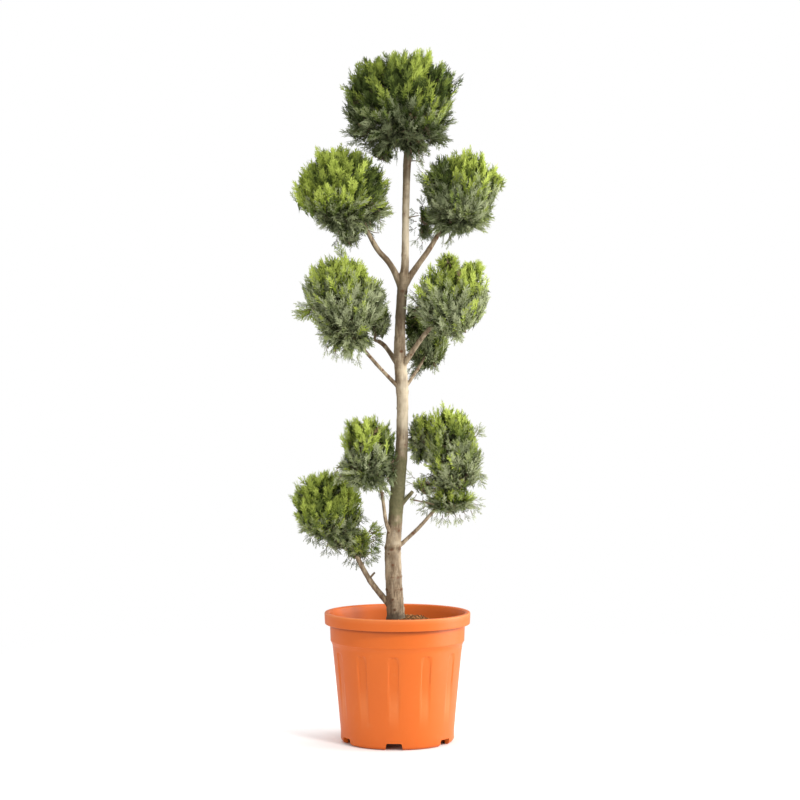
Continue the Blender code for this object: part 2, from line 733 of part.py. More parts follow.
def main():
    clear_scene()
    parts = make_collection("potted_leyland_cypress_pompom_topiary")
    pot_cutters = make_collection("notch_cutters")
    limb_cutters = make_collection("seat_cutters")
    make_pot(parts, pot_cutters)
    make_soil(parts)
    lines = make_limbs(parts, limb_cutters)
    spray = make_spray_mesh()
    for seed, name in enumerate(MASSES):
        make_mass(seed, name, spray, lines, parts)


main()
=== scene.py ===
import json
import math
import random

import bmesh
import bpy
import numpy as np
from mathutils import Matrix, Vector, noise

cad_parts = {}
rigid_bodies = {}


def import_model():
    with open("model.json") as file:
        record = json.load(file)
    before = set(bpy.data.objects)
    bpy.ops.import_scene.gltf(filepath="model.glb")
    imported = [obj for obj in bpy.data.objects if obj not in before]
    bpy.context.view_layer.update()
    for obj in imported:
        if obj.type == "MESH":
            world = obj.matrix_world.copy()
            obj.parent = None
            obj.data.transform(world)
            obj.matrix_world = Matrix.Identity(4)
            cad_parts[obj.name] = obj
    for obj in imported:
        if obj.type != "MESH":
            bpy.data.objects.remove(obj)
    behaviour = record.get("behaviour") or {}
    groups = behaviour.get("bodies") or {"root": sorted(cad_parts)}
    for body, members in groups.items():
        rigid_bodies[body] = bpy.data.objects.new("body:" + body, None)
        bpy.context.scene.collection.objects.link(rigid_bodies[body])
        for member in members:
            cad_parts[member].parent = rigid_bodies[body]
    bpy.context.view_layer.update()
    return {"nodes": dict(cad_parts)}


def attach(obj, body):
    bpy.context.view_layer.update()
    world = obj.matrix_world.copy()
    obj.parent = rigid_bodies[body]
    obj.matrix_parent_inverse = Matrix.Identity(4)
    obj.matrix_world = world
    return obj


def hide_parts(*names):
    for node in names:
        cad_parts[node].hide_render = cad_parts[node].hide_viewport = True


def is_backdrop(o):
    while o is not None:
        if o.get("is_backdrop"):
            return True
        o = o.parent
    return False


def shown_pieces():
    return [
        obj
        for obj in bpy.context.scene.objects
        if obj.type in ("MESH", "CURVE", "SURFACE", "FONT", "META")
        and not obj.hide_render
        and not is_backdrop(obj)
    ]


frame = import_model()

up = Vector((0.0, 0.0, 1.0))
fullTurn = 2.0 * math.pi
goldenTurn = math.pi * (3.0 - math.sqrt(5.0))
print("frame loaded:", len(frame["nodes"]), "nodes")


# Small helpers for objects and meshes

def newCollection(name):
    collection = bpy.data.collections.new(name)
    bpy.context.scene.collection.children.link(collection)
    return collection


def newObject(name, data, collection=None):
    item = bpy.data.objects.new(name, data)
    (collection or bpy.context.scene.collection).objects.link(item)
    return item


def dropCollection(collection):
    for item in list(collection.objects):
        bpy.data.objects.remove(item, do_unlink=True)
    bpy.data.collections.remove(collection)


def meshFrom(name, points, faces=(), edges=()):
    mesh = bpy.data.meshes.new(name)
    mesh.from_pydata([tuple(p) for p in points], list(edges), list(faces))
    mesh.update()
    return mesh


def setAttributes(mesh, kinds, rows, domain="POINT"):
    # kinds gives each attribute's type by its name, rows one tuple of values per point or face.
    for (name, kind), values in zip(kinds.items(), zip(*rows)):
        layer = mesh.attributes.new(name, kind, domain)
        flat = np.asarray(values, np.int32 if kind == "INT" else np.float32).ravel()
        layer.data.foreach_set("vector" if kind == "FLOAT_VECTOR" else "value", flat)


def smoothObject(name, mesh, material):
    mesh.shade_smooth()
    mesh.materials.append(material)
    return newObject(name, mesh)


def turnOutward(mesh):
    # Joins doubled points and turns every face outward.
    shape = bmesh.new()
    shape.from_mesh(mesh)
    bmesh.ops.remove_doubles(shape, verts=shape.verts, dist=0.00002)
    bmesh.ops.recalc_face_normals(shape, faces=shape.faces)
    shape.to_mesh(mesh)
    shape.free()


def circlePoints(radius, columns):
    turns = [fullTurn * column / columns for column in range(columns)]
    return [(radius * math.cos(turn), radius * math.sin(turn)) for turn in turns]


def ringFaces(first, rings, columns, outward=False):
    # Quads between rings of points that follow one another in a mesh.
    faces = []
    for start in range(first, first + (rings - 1) * columns, columns):
        for column in range(columns):
            a, b = start + column, start + (column + 1) % columns
            faces.append((a, b, b + columns, a + columns) if outward else (a, a + columns, b + columns, b))
    return faces


def fanFaces(middle, first, columns, flip=False):
    # Triangles between a ring of points and the point in its middle.
    pairs = [(first + column, first + (column + 1) % columns) for column in range(columns)]
    return [(b, a, middle) if flip else (middle, a, b) for a, b in pairs]


def bakeNodes(item):
    # Turns what a modifier makes into a plain mesh.
    bpy.context.view_layer.update()
    graph = bpy.context.evaluated_depsgraph_get()
    mesh = bpy.data.meshes.new_from_object(item.evaluated_get(graph))
    old = item.data
    item.modifiers.clear()
    item.data = mesh
    bpy.data.meshes.remove(old)
    return item


def smoothPath(points, rings):
    # Catmull-Rom through points that are tuples of any length.
    padded = [points[0], *points, points[-1]]
    path = []
    for span in range(len(points) - 1):
        a, b, c, d = padded[span:span + 4]
        for ring in range(rings):
            t = ring / rings
            path.append(tuple(
                0.5 * (2 * q + (r - p) * t + (2 * p - 5 * q + 4 * r - s) * t ** 2
                       + (3 * q - p - 3 * r + s) * t ** 3)
                for p, q, r, s in zip(a, b, c, d)))
    path.append(tuple(points[-1]))
    return path


def smoothStep(low, high, value):
    # From 0 at low to 1 at high; low may be the larger one.
    share = max(0.0, min(1.0, (value - low) / (high - low)))
    return share * share * (3.0 - 2.0 * share)


# Shader maths

class Wire:
    # A socket that Python's own operators work on.
    def __init__(self, graph, socket):
        self.graph = graph
        self.socket = socket

    def maths(self, operation, *values):
        return self.graph.add("ShaderNodeMath", {"operation": operation}, dict(enumerate(values)))

    def __add__(self, other):
        return self.maths("ADD", self, other)

    def __radd__(self, other):
        return self.maths("ADD", other, self)

    def __sub__(self, other):
        return self.maths("SUBTRACT", self, other)

    def __rsub__(self, other):
        return self.maths("SUBTRACT", other, self)

    def __mul__(self, other):
        return self.maths("MULTIPLY", self, other)

    def __rmul__(self, other):
        return self.maths("MULTIPLY", other, self)


class Graph:
    # A node tree in which add makes every node.
    def __init__(self, tree):
        self.tree = tree

    def feed(self, node, values):
        for key, value in values.items():
            socket = node.inputs[key]
            if isinstance(value, Wire):
                self.tree.links.new(value.socket, socket)
            else:
                socket.default_value = (*value, 1.0) if socket.type == "RGBA" else value

    def add(self, kind, settings=None, values=None, output=0):
        node = self.tree.nodes.new(kind)
        for key, value in (settings or {}).items():
            setattr(node, key, value)
        self.feed(node, values or {})
        return Wire(self, node.outputs[output])


class Nodes(Graph):
    # One material's nodes.
    def __init__(self, name, roughness, specular):
        self.material = bpy.data.materials.new(name)
        self.material.use_nodes = True
        super().__init__(self.material.node_tree)
        self.shader = self.tree.nodes["Principled BSDF"]
        self.feed(self.shader, {"Roughness": roughness, "Specular IOR Level": specular})
        self.place = self.add("ShaderNodeTexCoord", output="Object")

    def attribute(self, name):
        return self.add("ShaderNodeAttribute", {"attribute_name": name}, output="Fac")

    def cloud(self, scale, detail=3.0, rough=0.5):
        # Noise; a scale of three numbers stretches it.
        place = self.place
        if isinstance(scale, tuple):
            place, scale = self.add("ShaderNodeMapping", None, {"Vector": place, "Scale": scale}), 1.0
        values = {"Vector": place, "Scale": scale, "Detail": detail, "Roughness": rough}
        return self.add("ShaderNodeTexNoise", None, values, "Fac")

    def step(self, value, low, high):
        return self.add("ShaderNodeMapRange", {"interpolation_type": "SMOOTHSTEP"},
                        {"Value": value, "From Min": low, "From Max": high})

    def blend(self, share, first, second):
        # The colour sockets of a Mix node are its seventh and eighth.
        return self.add("ShaderNodeMix", {"data_type": "RGBA"}, {0: share, 6: first, 7: second}, 2)

    def paint(self, colour, *layers):
        # Each layer is where it shows, how strongly, and in what colour.
        for share, strength, shade in layers:
            colour = self.blend(share * strength, colour, shade)
        self.feed(self.shader, {"Base Color": colour})

    def bump(self, height, distance, strength):
        values = {"Height": height, "Distance": distance, "Strength": strength}
        self.feed(self.shader, {"Normal": self.add("ShaderNodeBump", None, values)})


def barkMaterial():
    m = Nodes("cypress_bark", roughness=0.78, specular=0.25)
    patches = m.cloud((46.0, 46.0, 20.0), 4.0)
    streaks = m.cloud((110.0, 110.0, 26.0), 6.0, 0.65)
    rings = m.cloud((60.0, 60.0, 380.0), 4.0, 0.6)
    fibres = m.cloud((520.0, 520.0, 50.0))
    scars = m.attribute("scar") * (0.55 + m.cloud(180.0) * 0.8)
    crackShade = m.attribute("relief") + m.cloud(240.0) * 0.5 - 0.25
    tone = m.attribute("tone")
    foot = m.attribute("foot") + m.cloud(120.0, 4.0) * 0.9
    moss = m.attribute("moss") + m.cloud(70.0, 5.0) * 1.5 - 0.75
    m.paint(
        m.blend(m.step(patches, 0.34, 0.66), (0.19, 0.134, 0.08), (0.375, 0.292, 0.19)),
        (m.step(streaks, 0.48, 0.62), 0.75, (0.12, 0.078, 0.046)),
        (m.step(streaks, 0.47, 0.33), 0.45, (0.56, 0.47, 0.34)),
        (m.step(rings, 0.55, 0.75), 0.45, (0.15, 0.098, 0.058)),
        (m.step(fibres, 0.55, 0.75), 0.3, (0.11, 0.075, 0.048)),
        (m.step(scars, 0.2, 0.8), 1.0, (0.125, 0.055, 0.026)),
        # painted shade: darker in the bark's cracks, where its relief is low
        (m.step(crackShade, -0.1, -0.8), 0.5, (0.07, 0.042, 0.024)),
        # pale and dark by height and at random; the dark also holds painted shade on each limb's left side
        (m.step(tone, 0.0, 1.0), 0.62, (0.66, 0.57, 0.42)),
        (m.step(tone, 0.0, -1.0), 0.62, (0.105, 0.078, 0.046)),
        (m.step(foot, 0.95, 1.35), 0.7, (0.05, 0.038, 0.026)),
        (m.step(moss, 0.2, 0.85), 0.8,
         m.blend(m.cloud(170.0, 4.0), (0.048, 0.055, 0.018), (0.2, 0.19, 0.09))))
    m.bump(streaks * 0.4 + rings * 0.3 + fibres * 0.3, 0.0008, 0.7)
    return m.material


def twigMaterial():
    m = Nodes("twig_bark", roughness=0.8, specular=0.2)
    m.paint(m.blend(m.cloud(160.0), (0.07, 0.044, 0.026), (0.29, 0.215, 0.135)))
    return m.material


def potMaterial():
    m = Nodes("orange_pot_plastic", roughness=0.42, specular=0.34)
    m.paint(
        m.blend(m.cloud(9.0), (0.57, 0.106, 0.005), (0.62, 0.125, 0.009)),
        (m.step(m.cloud(46.0, 5.0), 0.58, 0.82), 0.14, (0.6, 0.2, 0.06)),
        # painted highlight: paler orange on the rim's rounded top edge and along the flutes' sloping sides
        (m.attribute("edgeWear"), 0.45 + m.cloud(120.0) * 0.3, (0.8, 0.32, 0.12)),
        # painted shadow: dark red-brown just under the rim
        (m.attribute("grime"), 0.6 + m.cloud(60.0) * 0.4, (0.21, 0.022, 0.001)))
    m.feed(m.shader, {"Roughness": 0.4 + m.cloud(38.0, 4.0) * 0.14})
    m.bump(m.cloud(1500.0, 2.0), 0.00012, 0.35)
    return m.material


def compostMaterial():
    m = Nodes("peat_compost", roughness=0.95, specular=0.1)
    grain = m.cloud(260.0, 5.0, 0.65)
    m.paint(
        m.blend(m.step(grain, 0.35, 0.7), (0.06, 0.028, 0.012), (0.28, 0.13, 0.05)),
        (m.step(m.cloud(600.0, 2.0), 0.66, 0.74), 0.5, (0.21, 0.14, 0.085)))
    m.bump(grain, 0.002, 0.8)
    return m.material


def crumbMaterial():
    m = Nodes("compost_crumbs", roughness=0.95, specular=0.1)
    m.paint(m.blend(m.step(m.cloud(90.0, 2.0), 0.4, 0.6), (0.11, 0.05, 0.02), (0.48, 0.22, 0.08)))
    return m.material


# Foliage tints: the body of a spray, then its growing tips.
# lime, fresh, leaf and deep are lighter and darker copies of one green, and greyDark a darker copy of
# greyGreen, dealt out by painted light and shade; inner is painted shade deep in the mass
foliageTints = {
    "lime": ((0.25, 0.32, 0.04), (0.47, 0.555, 0.11)),
    "fresh": ((0.15, 0.202, 0.03), (0.3, 0.362, 0.068)),
    "leaf": ((0.086, 0.123, 0.024), (0.172, 0.222, 0.05)),
    "deep": ((0.026, 0.04, 0.009), (0.064, 0.09, 0.022)),
    "sage": ((0.168, 0.206, 0.068), (0.33, 0.38, 0.158)),
    "greyGreen": ((0.196, 0.222, 0.104), (0.4, 0.436, 0.25)),
    "greyDark": ((0.096, 0.112, 0.05), (0.206, 0.236, 0.122)),
    "inner": ((0.012, 0.016, 0.006), (0.026, 0.034, 0.012)),
    "straw": ((0.14, 0.098, 0.046), (0.25, 0.185, 0.095)),
}
tintNames = list(foliageTints)
tintSteps = (("lime", 0.68), ("fresh", 0.44), ("leaf", 0.18))  # how light a green spray is at least, by its painted light


def foliageMaterials():
    made = []
    for name, pair in foliageTints.items():
        for part, shade in zip(("body", "tips"), pair):
            m = Nodes("foliage_%s_%s" % (name, part), roughness=0.8, specular=0.07)
            m.paint(shade)
            made.append(m.material)
    return made


bark = barkMaterial()
twigBark = twigMaterial()
potPlastic = potMaterial()
compost = compostMaterial()
crumbs = crumbMaterial()
foliage = foliageMaterials()
print("materials made")


# Trunk and boughs

trunk = {
    # height, x, radius, as in the solid
    "stations": (
        (0.268, -0.004, 0.024), (0.2863, -0.004, 0.0226), (0.298, -0.0038, 0.0207), (0.36, -0.008, 0.0197),
        (0.44, -0.0106, 0.0188), (0.5, -0.0062, 0.0168), (0.58, 0.0003, 0.0168), (0.68, 0.0098, 0.0143),
        (0.78, 0.0116, 0.0136), (0.832, 0.0099, 0.0148), (0.905, 0.0054, 0.0138), (0.97, 0.0066, 0.0122),
        (1.04, 0.0106, 0.0122), (1.076, 0.0136, 0.0134), (1.108, 0.0176, 0.0092), (1.225, 0.0193, 0.0083),
        (1.32, 0.0215, 0.0088), (1.37, 0.0245, 0.01)),
    "sides": 52,
    "ringGap": 0.002,
    "relief": 1.0,             # how rough its bark is
    "moss": (0.47, 0.715),     # from and to this height
    "nodeGap": (0.03, 0.062),  # between the rings of old branch scars
    # knots: height, way round in degrees (270 is the front), how big
    "knots": ((0.449, 205, 1.5), (0.447, 262, 1.0), (0.45, 325, 1.1), (0.437, 240, 0.7), (0.411, 268, 0.8),
              (0.38, 300, 0.9), (0.352, 320, 1.0), (0.33, 255, 0.8), (0.532, 230, 0.8), (0.628, 290, 0.9),
              (0.905, 285, 1.0), (1.045, 268, 1.2), (1.225, 250, 0.8)),
    # height and tone, from dark -1 to pale 1
    "tones": ((0.29, -0.15), (0.33, -0.15), (0.36, 0.1), (0.42, 0.25), (0.441, 0.2), (0.449, -0.7),
              (0.459, 0.3), (0.48, 0.3), (0.505, -0.1), (0.512, 0.25), (0.54, -0.5), (0.595, -0.9),
              (0.63, -0.3), (0.67, 0.0), (0.7, 0.4), (0.74, 0.85), (0.78, 0.7), (0.86, 0.6), (0.9, -0.1),
              (0.95, 0.05), (1.0, -0.9), (1.04, -0.85), (1.07, -0.2), (1.1, 0.3), (1.165, 1.0),
              (1.22, 0.8), (1.28, 0.62), (1.34, 0.2)),
}

# fork height on the trunk, bends and tip, radius at the fork and at the tip
boughs = {
    "bough_lower_left": (0.298, ((-0.0615, 0.008, 0.368), (-0.095, 0.018, 0.4265)), 0.0076, 0.0056),
    "bough_lower_left_high": (
        0.47, ((-0.0251, -0.018, 0.5048), (-0.0339, -0.032, 0.5635), (-0.0387, -0.04, 0.588)),
        0.0046, 0.0035),
    "bough_lower_right": (0.44, ((0.0459, 0.006, 0.4909), (0.089, 0.014, 0.5389)), 0.0047, 0.0039),
    "bough_lower_right_inner": (
        0.532, ((0.017, -0.004, 0.559), (0.0355, -0.01, 0.58)), 0.0058, 0.004),
    "bough_mid_left": (0.815, ((-0.0424, -0.018, 0.8694), (-0.0929, -0.035, 0.9279)), 0.0044, 0.0038),
    "bough_mid_left_back": (0.866, ((-0.0264, 0.03, 0.9159), (-0.045, 0.052, 0.932)), 0.0062, 0.0048),
    "bough_mid_right": (0.866, ((0.057, -0.03, 0.9372), (0.0856, -0.055, 0.9685)), 0.0066, 0.0048),
    "bough_mid_back": (0.812, ((0.032, 0.026, 0.842), (0.0573, 0.06, 0.8814)), 0.0042, 0.0036),
    "bough_upper_left": (
        1.056, ((-0.017, -0.005, 1.109), (-0.0471, -0.011, 1.1442), (-0.0725, -0.018, 1.19)),
        0.008, 0.0051),
    "bough_upper_right": (
        1.054, ((0.0435, 0.004, 1.1021), (0.0738, 0.01, 1.1447), (0.0984, 0.016, 1.1872)),
        0.0078, 0.0052),
}
boughLook = {
    "sides": 26,
    "ringGap": 0.0018,
    "collar": 0.55,      # extra thickness at the fork
    "collarLength": 0.016,
    "relief": 1.3,
    "nodeGap": (0.016, 0.034),
    "moss": (9.0, 9.1),  # none: above the plant
    "knots": (),
    "tones": ((0.0, 0.0),),
}
mossyBoughs = {"bough_lower_right_inner": (0.5, 0.7)}

# The bark's relief: heights as shares of the limb's radius, the rest in metres or per metre
barkForm = {
    "lump": 0.06,
    "ring": 0.01,
    "grain": 0.012,
    "crack": 0.045,
    "ringScales": (310.0, 760.0),
    "lumpScale": 48.0,
    "grainScale": (260.0, 900.0),  # level and upright
    "crackScale": (300.0, 26.0),
    "footFade": (0.32, 0.285),     # stained from the first height down to the second
    "mossFade": (0.09, 0.1),
    "scar": 0.115,
    "scarHigh": 0.0042,            # how far a scar reaches up the limb and round it
    "scarWide": 0.005,
    "scarNear": 0.012,
    "ridge": 0.045,                # the ring round the limb at a scar
    "ridgeHigh": 0.0024,
}


def trunkLine():
    stations = [(x, 0.0, height, radius) for height, x, radius in trunk["stations"]]
    rings = [stations[0], *smoothPath(stations[1:], 6)]
    return [Vector(ring[:3]) for ring in rings], [ring[3] for ring in rings]


def trunkAxis(height):
    # The trunk's middle at a height between two stations.
    for low, high in zip(trunk["stations"], trunk["stations"][1:]):
        if height <= high[0]:
            share = (height - low[0]) / (high[0] - low[0])
            return Vector((low[1] + (high[1] - low[1]) * share, 0.0, height))


def boughLine(name):
    fork, bends, base, tip = boughs[name]
    path = [Vector(p) for p in smoothPath([tuple(trunkAxis(fork)), *bends], 8)]
    lengths = [0.0]
    for a, b in zip(path, path[1:]):
        lengths.append(lengths[-1] + (b - a).length)
    radii = []
    for length in lengths:
        collar = boughLook["collar"] * math.exp(-length / boughLook["collarLength"])
        radii.append((base + (tip - base) * length / lengths[-1]) * (1.0 + collar))
    return path, radii


def evenSteps(points, radii, gap):
    # The same line with a ring every gap, and how far along each ring is.
    places = np.array(points, float)
    lengths = np.concatenate(([0.0], np.cumsum(np.linalg.norm(np.diff(places, axis=0), axis=1))))
    along = np.linspace(0.0, lengths[-1], max(3, int(lengths[-1] / gap)))
    fine = np.stack([np.interp(along, lengths, places[:, axis]) for axis in range(3)], axis=1)
    return [Vector(p) for p in fine], np.interp(along, lengths, radii), along


def barkNodes(along, gaps, chance):
    # Old branch scars up a limb: where, which way round, how big.
    found = []
    where = chance.uniform(*gaps)
    while where < along[-1]:
        for _ in range(chance.choice((1, 1, 2))):
            found.append((where + chance.uniform(-0.004, 0.004), chance.uniform(0.0, fullTurn),
                          chance.uniform(0.5, 1.0)))
        where += chance.uniform(*gaps)
    return found


def ringAxes(points):
    # Two directions across the limb at each ring, carried on without a twist.
    across = None
    for index in range(len(points)):
        ahead = points[min(index + 1, len(points) - 1)]
        behind = points[max(index - 1, 0)]
        forward = (ahead - behind).normalized()
        if across is None:
            across = forward.orthogonal().normalized()
        across = (across - forward * across.dot(forward)).normalized()
        yield across, forward.cross(across)


def barkTone(height, tones):
    # Between the two nearest heights in a list of (height, tone).
    for low, high in zip(tones, tones[1:]):
        if height <= high[0]:
            return low[1] + (high[1] - low[1]) * smoothStep(low[0], high[0], height)
    return tones[-1][1]


def placedKnots(points, along, knots):
    # Knots given by their height and compass angle, as barkNodes gives its own.
    found = []
    across, other = next(ringAxes(points))
    for height, degrees, size in knots:
        ring = min(range(len(points)), key=lambda i: abs(points[i].z - height))
        way = Vector((math.cos(math.radians(degrees)), math.sin(math.radians(degrees)), 0.0))
        found.append((along[ring], math.atan2(way.dot(other), way.dot(across)), size))
    return found


def scarRelief(near, far, angle, radius):
    # How high the scars near a spot lift it, and how much it is scarred.
    height, scar = 0.0, 0.0
    for where, turn, size in near:
        aside = math.atan2(math.sin(angle - turn), math.cos(angle - turn)) * radius
        reach = ((far - where) / (barkForm["scarHigh"] * size)) ** 2
        reach += (aside / (barkForm["scarWide"] * size)) ** 2
        mark = math.exp(-reach)
        broken = noise.noise(Vector((math.cos(angle), math.sin(angle), where * 90.0)) * 1.3)
        ridge = math.exp(-((far - where) / barkForm["ridgeHigh"]) ** 2) * smoothStep(-0.25, 0.45, broken)
        hollow = 1.3 * math.exp(-3.5 * reach)
        height += size * (barkForm["scar"] * mark * (1.0 - hollow) + barkForm["ridge"] * ridge)
        scar = max(scar, mark, 0.55 * ridge)
    return height, scar


def stretchedNoise(spot, level, upright):
    return noise.noise(Vector((spot.x * level, spot.y * level, spot.z * upright)))


def barkLimb(name, line, look, seed):
    chance = random.Random(seed)
    points, radii, along = evenSteps(*line, look["ringGap"])
    scars = barkNodes(along, look["nodeGap"], chance) + placedKnots(points, along, look["knots"])
    sides = look["sides"]
    mossFrom, mossTo = look["moss"]
    fadeIn, fadeOut = barkForm["mossFade"]
    coarse, close = barkForm["ringScales"]
    drift = chance.uniform(0.0, 50.0)
    places, marks = [], []
    for point, radius, far, (across, other) in zip(points, radii, along, ringAxes(points)):
        rings = noise.noise((far * coarse, drift, 0.0)) + 0.6 * noise.noise((far * close, 0.0, drift))
        near = [scar for scar in scars if abs(scar[0] - far) < barkForm["scarNear"]]
        for side in range(sides):
            angle = fullTurn * side / sides
            way = across * math.cos(angle) + other * math.sin(angle)
            spot = point + way * radius
            lump = noise.noise(spot * barkForm["lumpScale"] + Vector((drift, 0.0, 0.0)))
            grain = stretchedNoise(spot, *barkForm["grainScale"])
            crack = max(0.0, stretchedNoise(spot, *barkForm["crackScale"]))
            height, scar = scarRelief(near, far, angle, radius)
            height += barkForm["lump"] * lump + barkForm["ring"] * rings
            height += barkForm["grain"] * grain - barkForm["crack"] * crack
            places.append(point + way * radius * (1.0 + look["relief"] * height))
            # Low where the bark cracks; the material paints shade there.
            fine = 0.012 * rings + 0.016 * grain - 0.05 * crack + 0.01 * scar
            moss = smoothStep(mossFrom, mossFrom + fadeIn, spot.z)
            moss *= 1.0 - smoothStep(mossTo - fadeOut, mossTo, spot.z)
            foot = smoothStep(*barkForm["footFade"], spot.z)
            # Painted shade: darker on the limb's left side, with random mottling.
            leftShadeAndMottle = 0.55 * smoothStep(0.25, -0.8, way.x) + 0.25 * noise.noise(spot * 90.0)
            tone = barkTone(spot.z, look["tones"]) - leftShadeAndMottle + 0.35 * noise.noise(spot * 38.0)
            marks.append((scar, max(-1.0, min(1.0, fine * 26.0)), moss, foot, tone))
    faces = ringFaces(0, len(points), sides, outward=True)
    for ring in (0, len(points) - 1):
        faces += fanFaces(len(places), ring * sides, sides, flip=ring == 0)
        places.append(points[ring])
        marks.append((0.0, 0.0, *marks[ring * sides][2:]))
    mesh = meshFrom(name, places, faces)
    setAttributes(mesh, dict.fromkeys(("scar", "relief", "moss", "foot", "tone"), "FLOAT"), marks)
    return smoothObject(name, mesh, bark)


limbLines = {"trunk": trunkLine(), **{boughName: boughLine(boughName) for boughName in boughs}}

trunkBark = barkLimb("bark_trunk", limbLines["trunk"], trunk, 3)
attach(trunkBark, "root")
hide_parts("trunk")
for seed, boughName in enumerate(boughs, 20):
    look = {**boughLook, "moss": mossyBoughs.get(boughName, boughLook["moss"])}
    piece = barkLimb(boughName.replace("bough", "bark"), limbLines[boughName], look, seed)
    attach(piece, "root")
    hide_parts(boughName)
print("bark made")


# Foliage sprays: flat ferny shoots that branch to and fro along a rib

sprayShapes = {
    "count": 7,
    "pairs": 5,           # side shoots on each side
    "shootWidth": 0.028,  # of the spray's length
    "sideLength": 0.33,
    "forkFrom": 0.27,     # longer side shoots fork
    "forkAngle": 31.0,
    "fold": 0.35,         # how sharply a shoot is folded along its middle
    "angle": 26.0,
}


def addShoot(points, faces, tips, root, tip, width, isTip):
    # A slim pointed blade, folded along its middle.
    along = tip - root
    side = along.cross(up).normalized() * width
    sag = up * (-width * sprayShapes["fold"])
    first = len(points)
    middle = root + along * 0.42
    points += [root, middle + side + sag, tip, middle - side + sag]
    faces += [(first, first + 1, first + 2), (first, first + 2, first + 3)]
    tips += [isTip, isTip]


def sprayMesh(index):
    chance = random.Random(70 + index)
    points, faces, tips = [], [], []
    width = sprayShapes["shootWidth"]
    curl = chance.uniform(-0.16, 0.1)
    lean = chance.uniform(-0.14, 0.14)

    def rib(t):
        return Vector((lean * t * t, t, curl * t * t))

    for start, end in ((0.0, 0.6), (0.5, 1.0)):
        addShoot(points, faces, tips, rib(start), rib(end), width * (1.15 - 0.4 * end), int(end > 0.9))
    shoots = 2 * sprayShapes["pairs"]
    for number in range(shoots):
        side = 1 if number % 2 else -1
        t = 0.12 + 0.72 * number / (shoots - 1)
        length = (sprayShapes["sideLength"] * (1.0 - t) ** 0.6 + 0.1) * chance.uniform(0.7, 1.15)
        if number < 2:
            length *= 0.7
        angle = math.radians(sprayShapes["angle"] + chance.uniform(-8.0, 10.0) - 10.0 * t)
        root = rib(t)
        way = Vector((side * math.sin(angle), math.cos(angle), chance.uniform(-0.2, 0.2)))
        addShoot(points, faces, tips, root, root + way * length, width * 0.9, int(t > 0.42))
        if length > sprayShapes["forkFrom"]:
            inner = Matrix.Rotation(math.radians(-side * sprayShapes["forkAngle"]), 3, "Z") @ way
            start = root + way * length * 0.45
            addShoot(points, faces, tips, start, start + inner * length * 0.5, width * 0.75, 1)
    mesh = meshFrom("spray_%d" % index, points, faces)
    setAttributes(mesh, {"isTip": "INT"}, zip(tips), "FACE")
    return mesh


sprayShelf = newCollection("spray_shapes")
for index in range(sprayShapes["count"]):
    newObject("spray_shape_%d" % index, sprayMesh(index), sprayShelf)
sprayFaces = [len(item.data.polygons) for item in sprayShelf.objects]
print("spray shapes made, triangles each:", sprayFaces)


# Geometry Nodes trees

class Tree(Graph):
    # One Geometry Nodes tree with named inputs.
    def __init__(self, name, inputs):
        super().__init__(bpy.data.node_groups.new(name, "GeometryNodeTree"))
        self.sockets = {}
        face = self.tree.interface
        face.new_socket("Geometry", in_out="INPUT", socket_type="NodeSocketGeometry")
        for label, kind in inputs.items():
            socket = face.new_socket(label, in_out="INPUT", socket_type="NodeSocket" + kind)
            self.sockets[label] = socket.identifier
        face.new_socket("Geometry", in_out="OUTPUT", socket_type="NodeSocketGeometry")
        self.source = self.tree.nodes.new("NodeGroupInput")
        self.end = self.tree.nodes.new("NodeGroupOutput")

    def given(self, label):
        return Wire(self, self.source.outputs[label])

    def named(self, label, kind):
        return self.add("GeometryNodeInputNamedAttribute", {"data_type": kind}, {"Name": label})

    def equals(self, label, number):
        values = {2: self.named(label, "INT"), 3: number}
        return self.add("FunctionNodeCompare", {"data_type": "INT", "operation": "EQUAL"}, values)

    def chance(self, low, high):
        values = {2: low, 3: high, "Seed": self.given("Seed")}
        return self.add("FunctionNodeRandomValue", {"data_type": "FLOAT"}, values, 1)

    def instances(self, points, label, values):
        # Puts shapes out of the collection of that name on the points.
        shelf = self.add("GeometryNodeCollectionInfo", None, {
            "Collection": self.given(label), "Separate Children": True, "Reset Children": True})
        return self.add("GeometryNodeInstanceOnPoints", None, {
            "Points": points, "Instance": shelf, "Pick Instance": True, **values})

    def finish(self, geometry, *paints):
        # Each paint is a material and, where it isn't for all, its selection.
        shape = self.add("GeometryNodeRealizeInstances", None, {"Geometry": geometry})
        for paint in paints:
            shape = self.add("GeometryNodeSetMaterial", None, {"Geometry": shape, **paint})
        self.feed(self.end, {"Geometry": shape})
        return self

    def put(self, item, **values):
        # Sets a modifier's inputs by their identifiers before it is first evaluated.
        modifier = item.modifiers.new(self.tree.name, "NODES")
        modifier.node_group = self.tree
        for label, value in values.items():
            modifier[self.sockets[label.replace("_", " ")]] = value


def foliageTree():
    tree = Tree("grow_foliage", {"Sprays": "Collection", "Spray Size": "Float", "Size Spread": "Float",
                                 "Roll Spread": "Float", "Seed": "Int"})
    spread, roll = tree.given("Size Spread"), tree.given("Roll Spread")
    size = tree.named("size", "FLOAT") * tree.chance(1.0 - spread, 1.0 + spread) * tree.given("Spray Size")
    sprays = tree.instances(tree.given("Geometry"), "Sprays", {
        "Instance Index": tree.named("shape", "INT"),
        "Rotation": tree.named("turn", "FLOAT_VECTOR"),
        "Scale": size})
    about = tree.add("ShaderNodeCombineXYZ", None, {"Y": tree.chance(roll * -1.0, roll)})
    rolled = tree.add("GeometryNodeRotateInstances", None, {"Instances": sprays, "Rotation": about})
    paints = []
    for number, material in enumerate(foliage):
        values = {0: tree.equals("tint", number // 2), 1: tree.equals("isTip", number % 2)}
        both = tree.add("FunctionNodeBooleanMath", {"operation": "AND"}, values)
        paints.append({"Selection": both, "Material": material})
    return tree.finish(rolled, *paints)


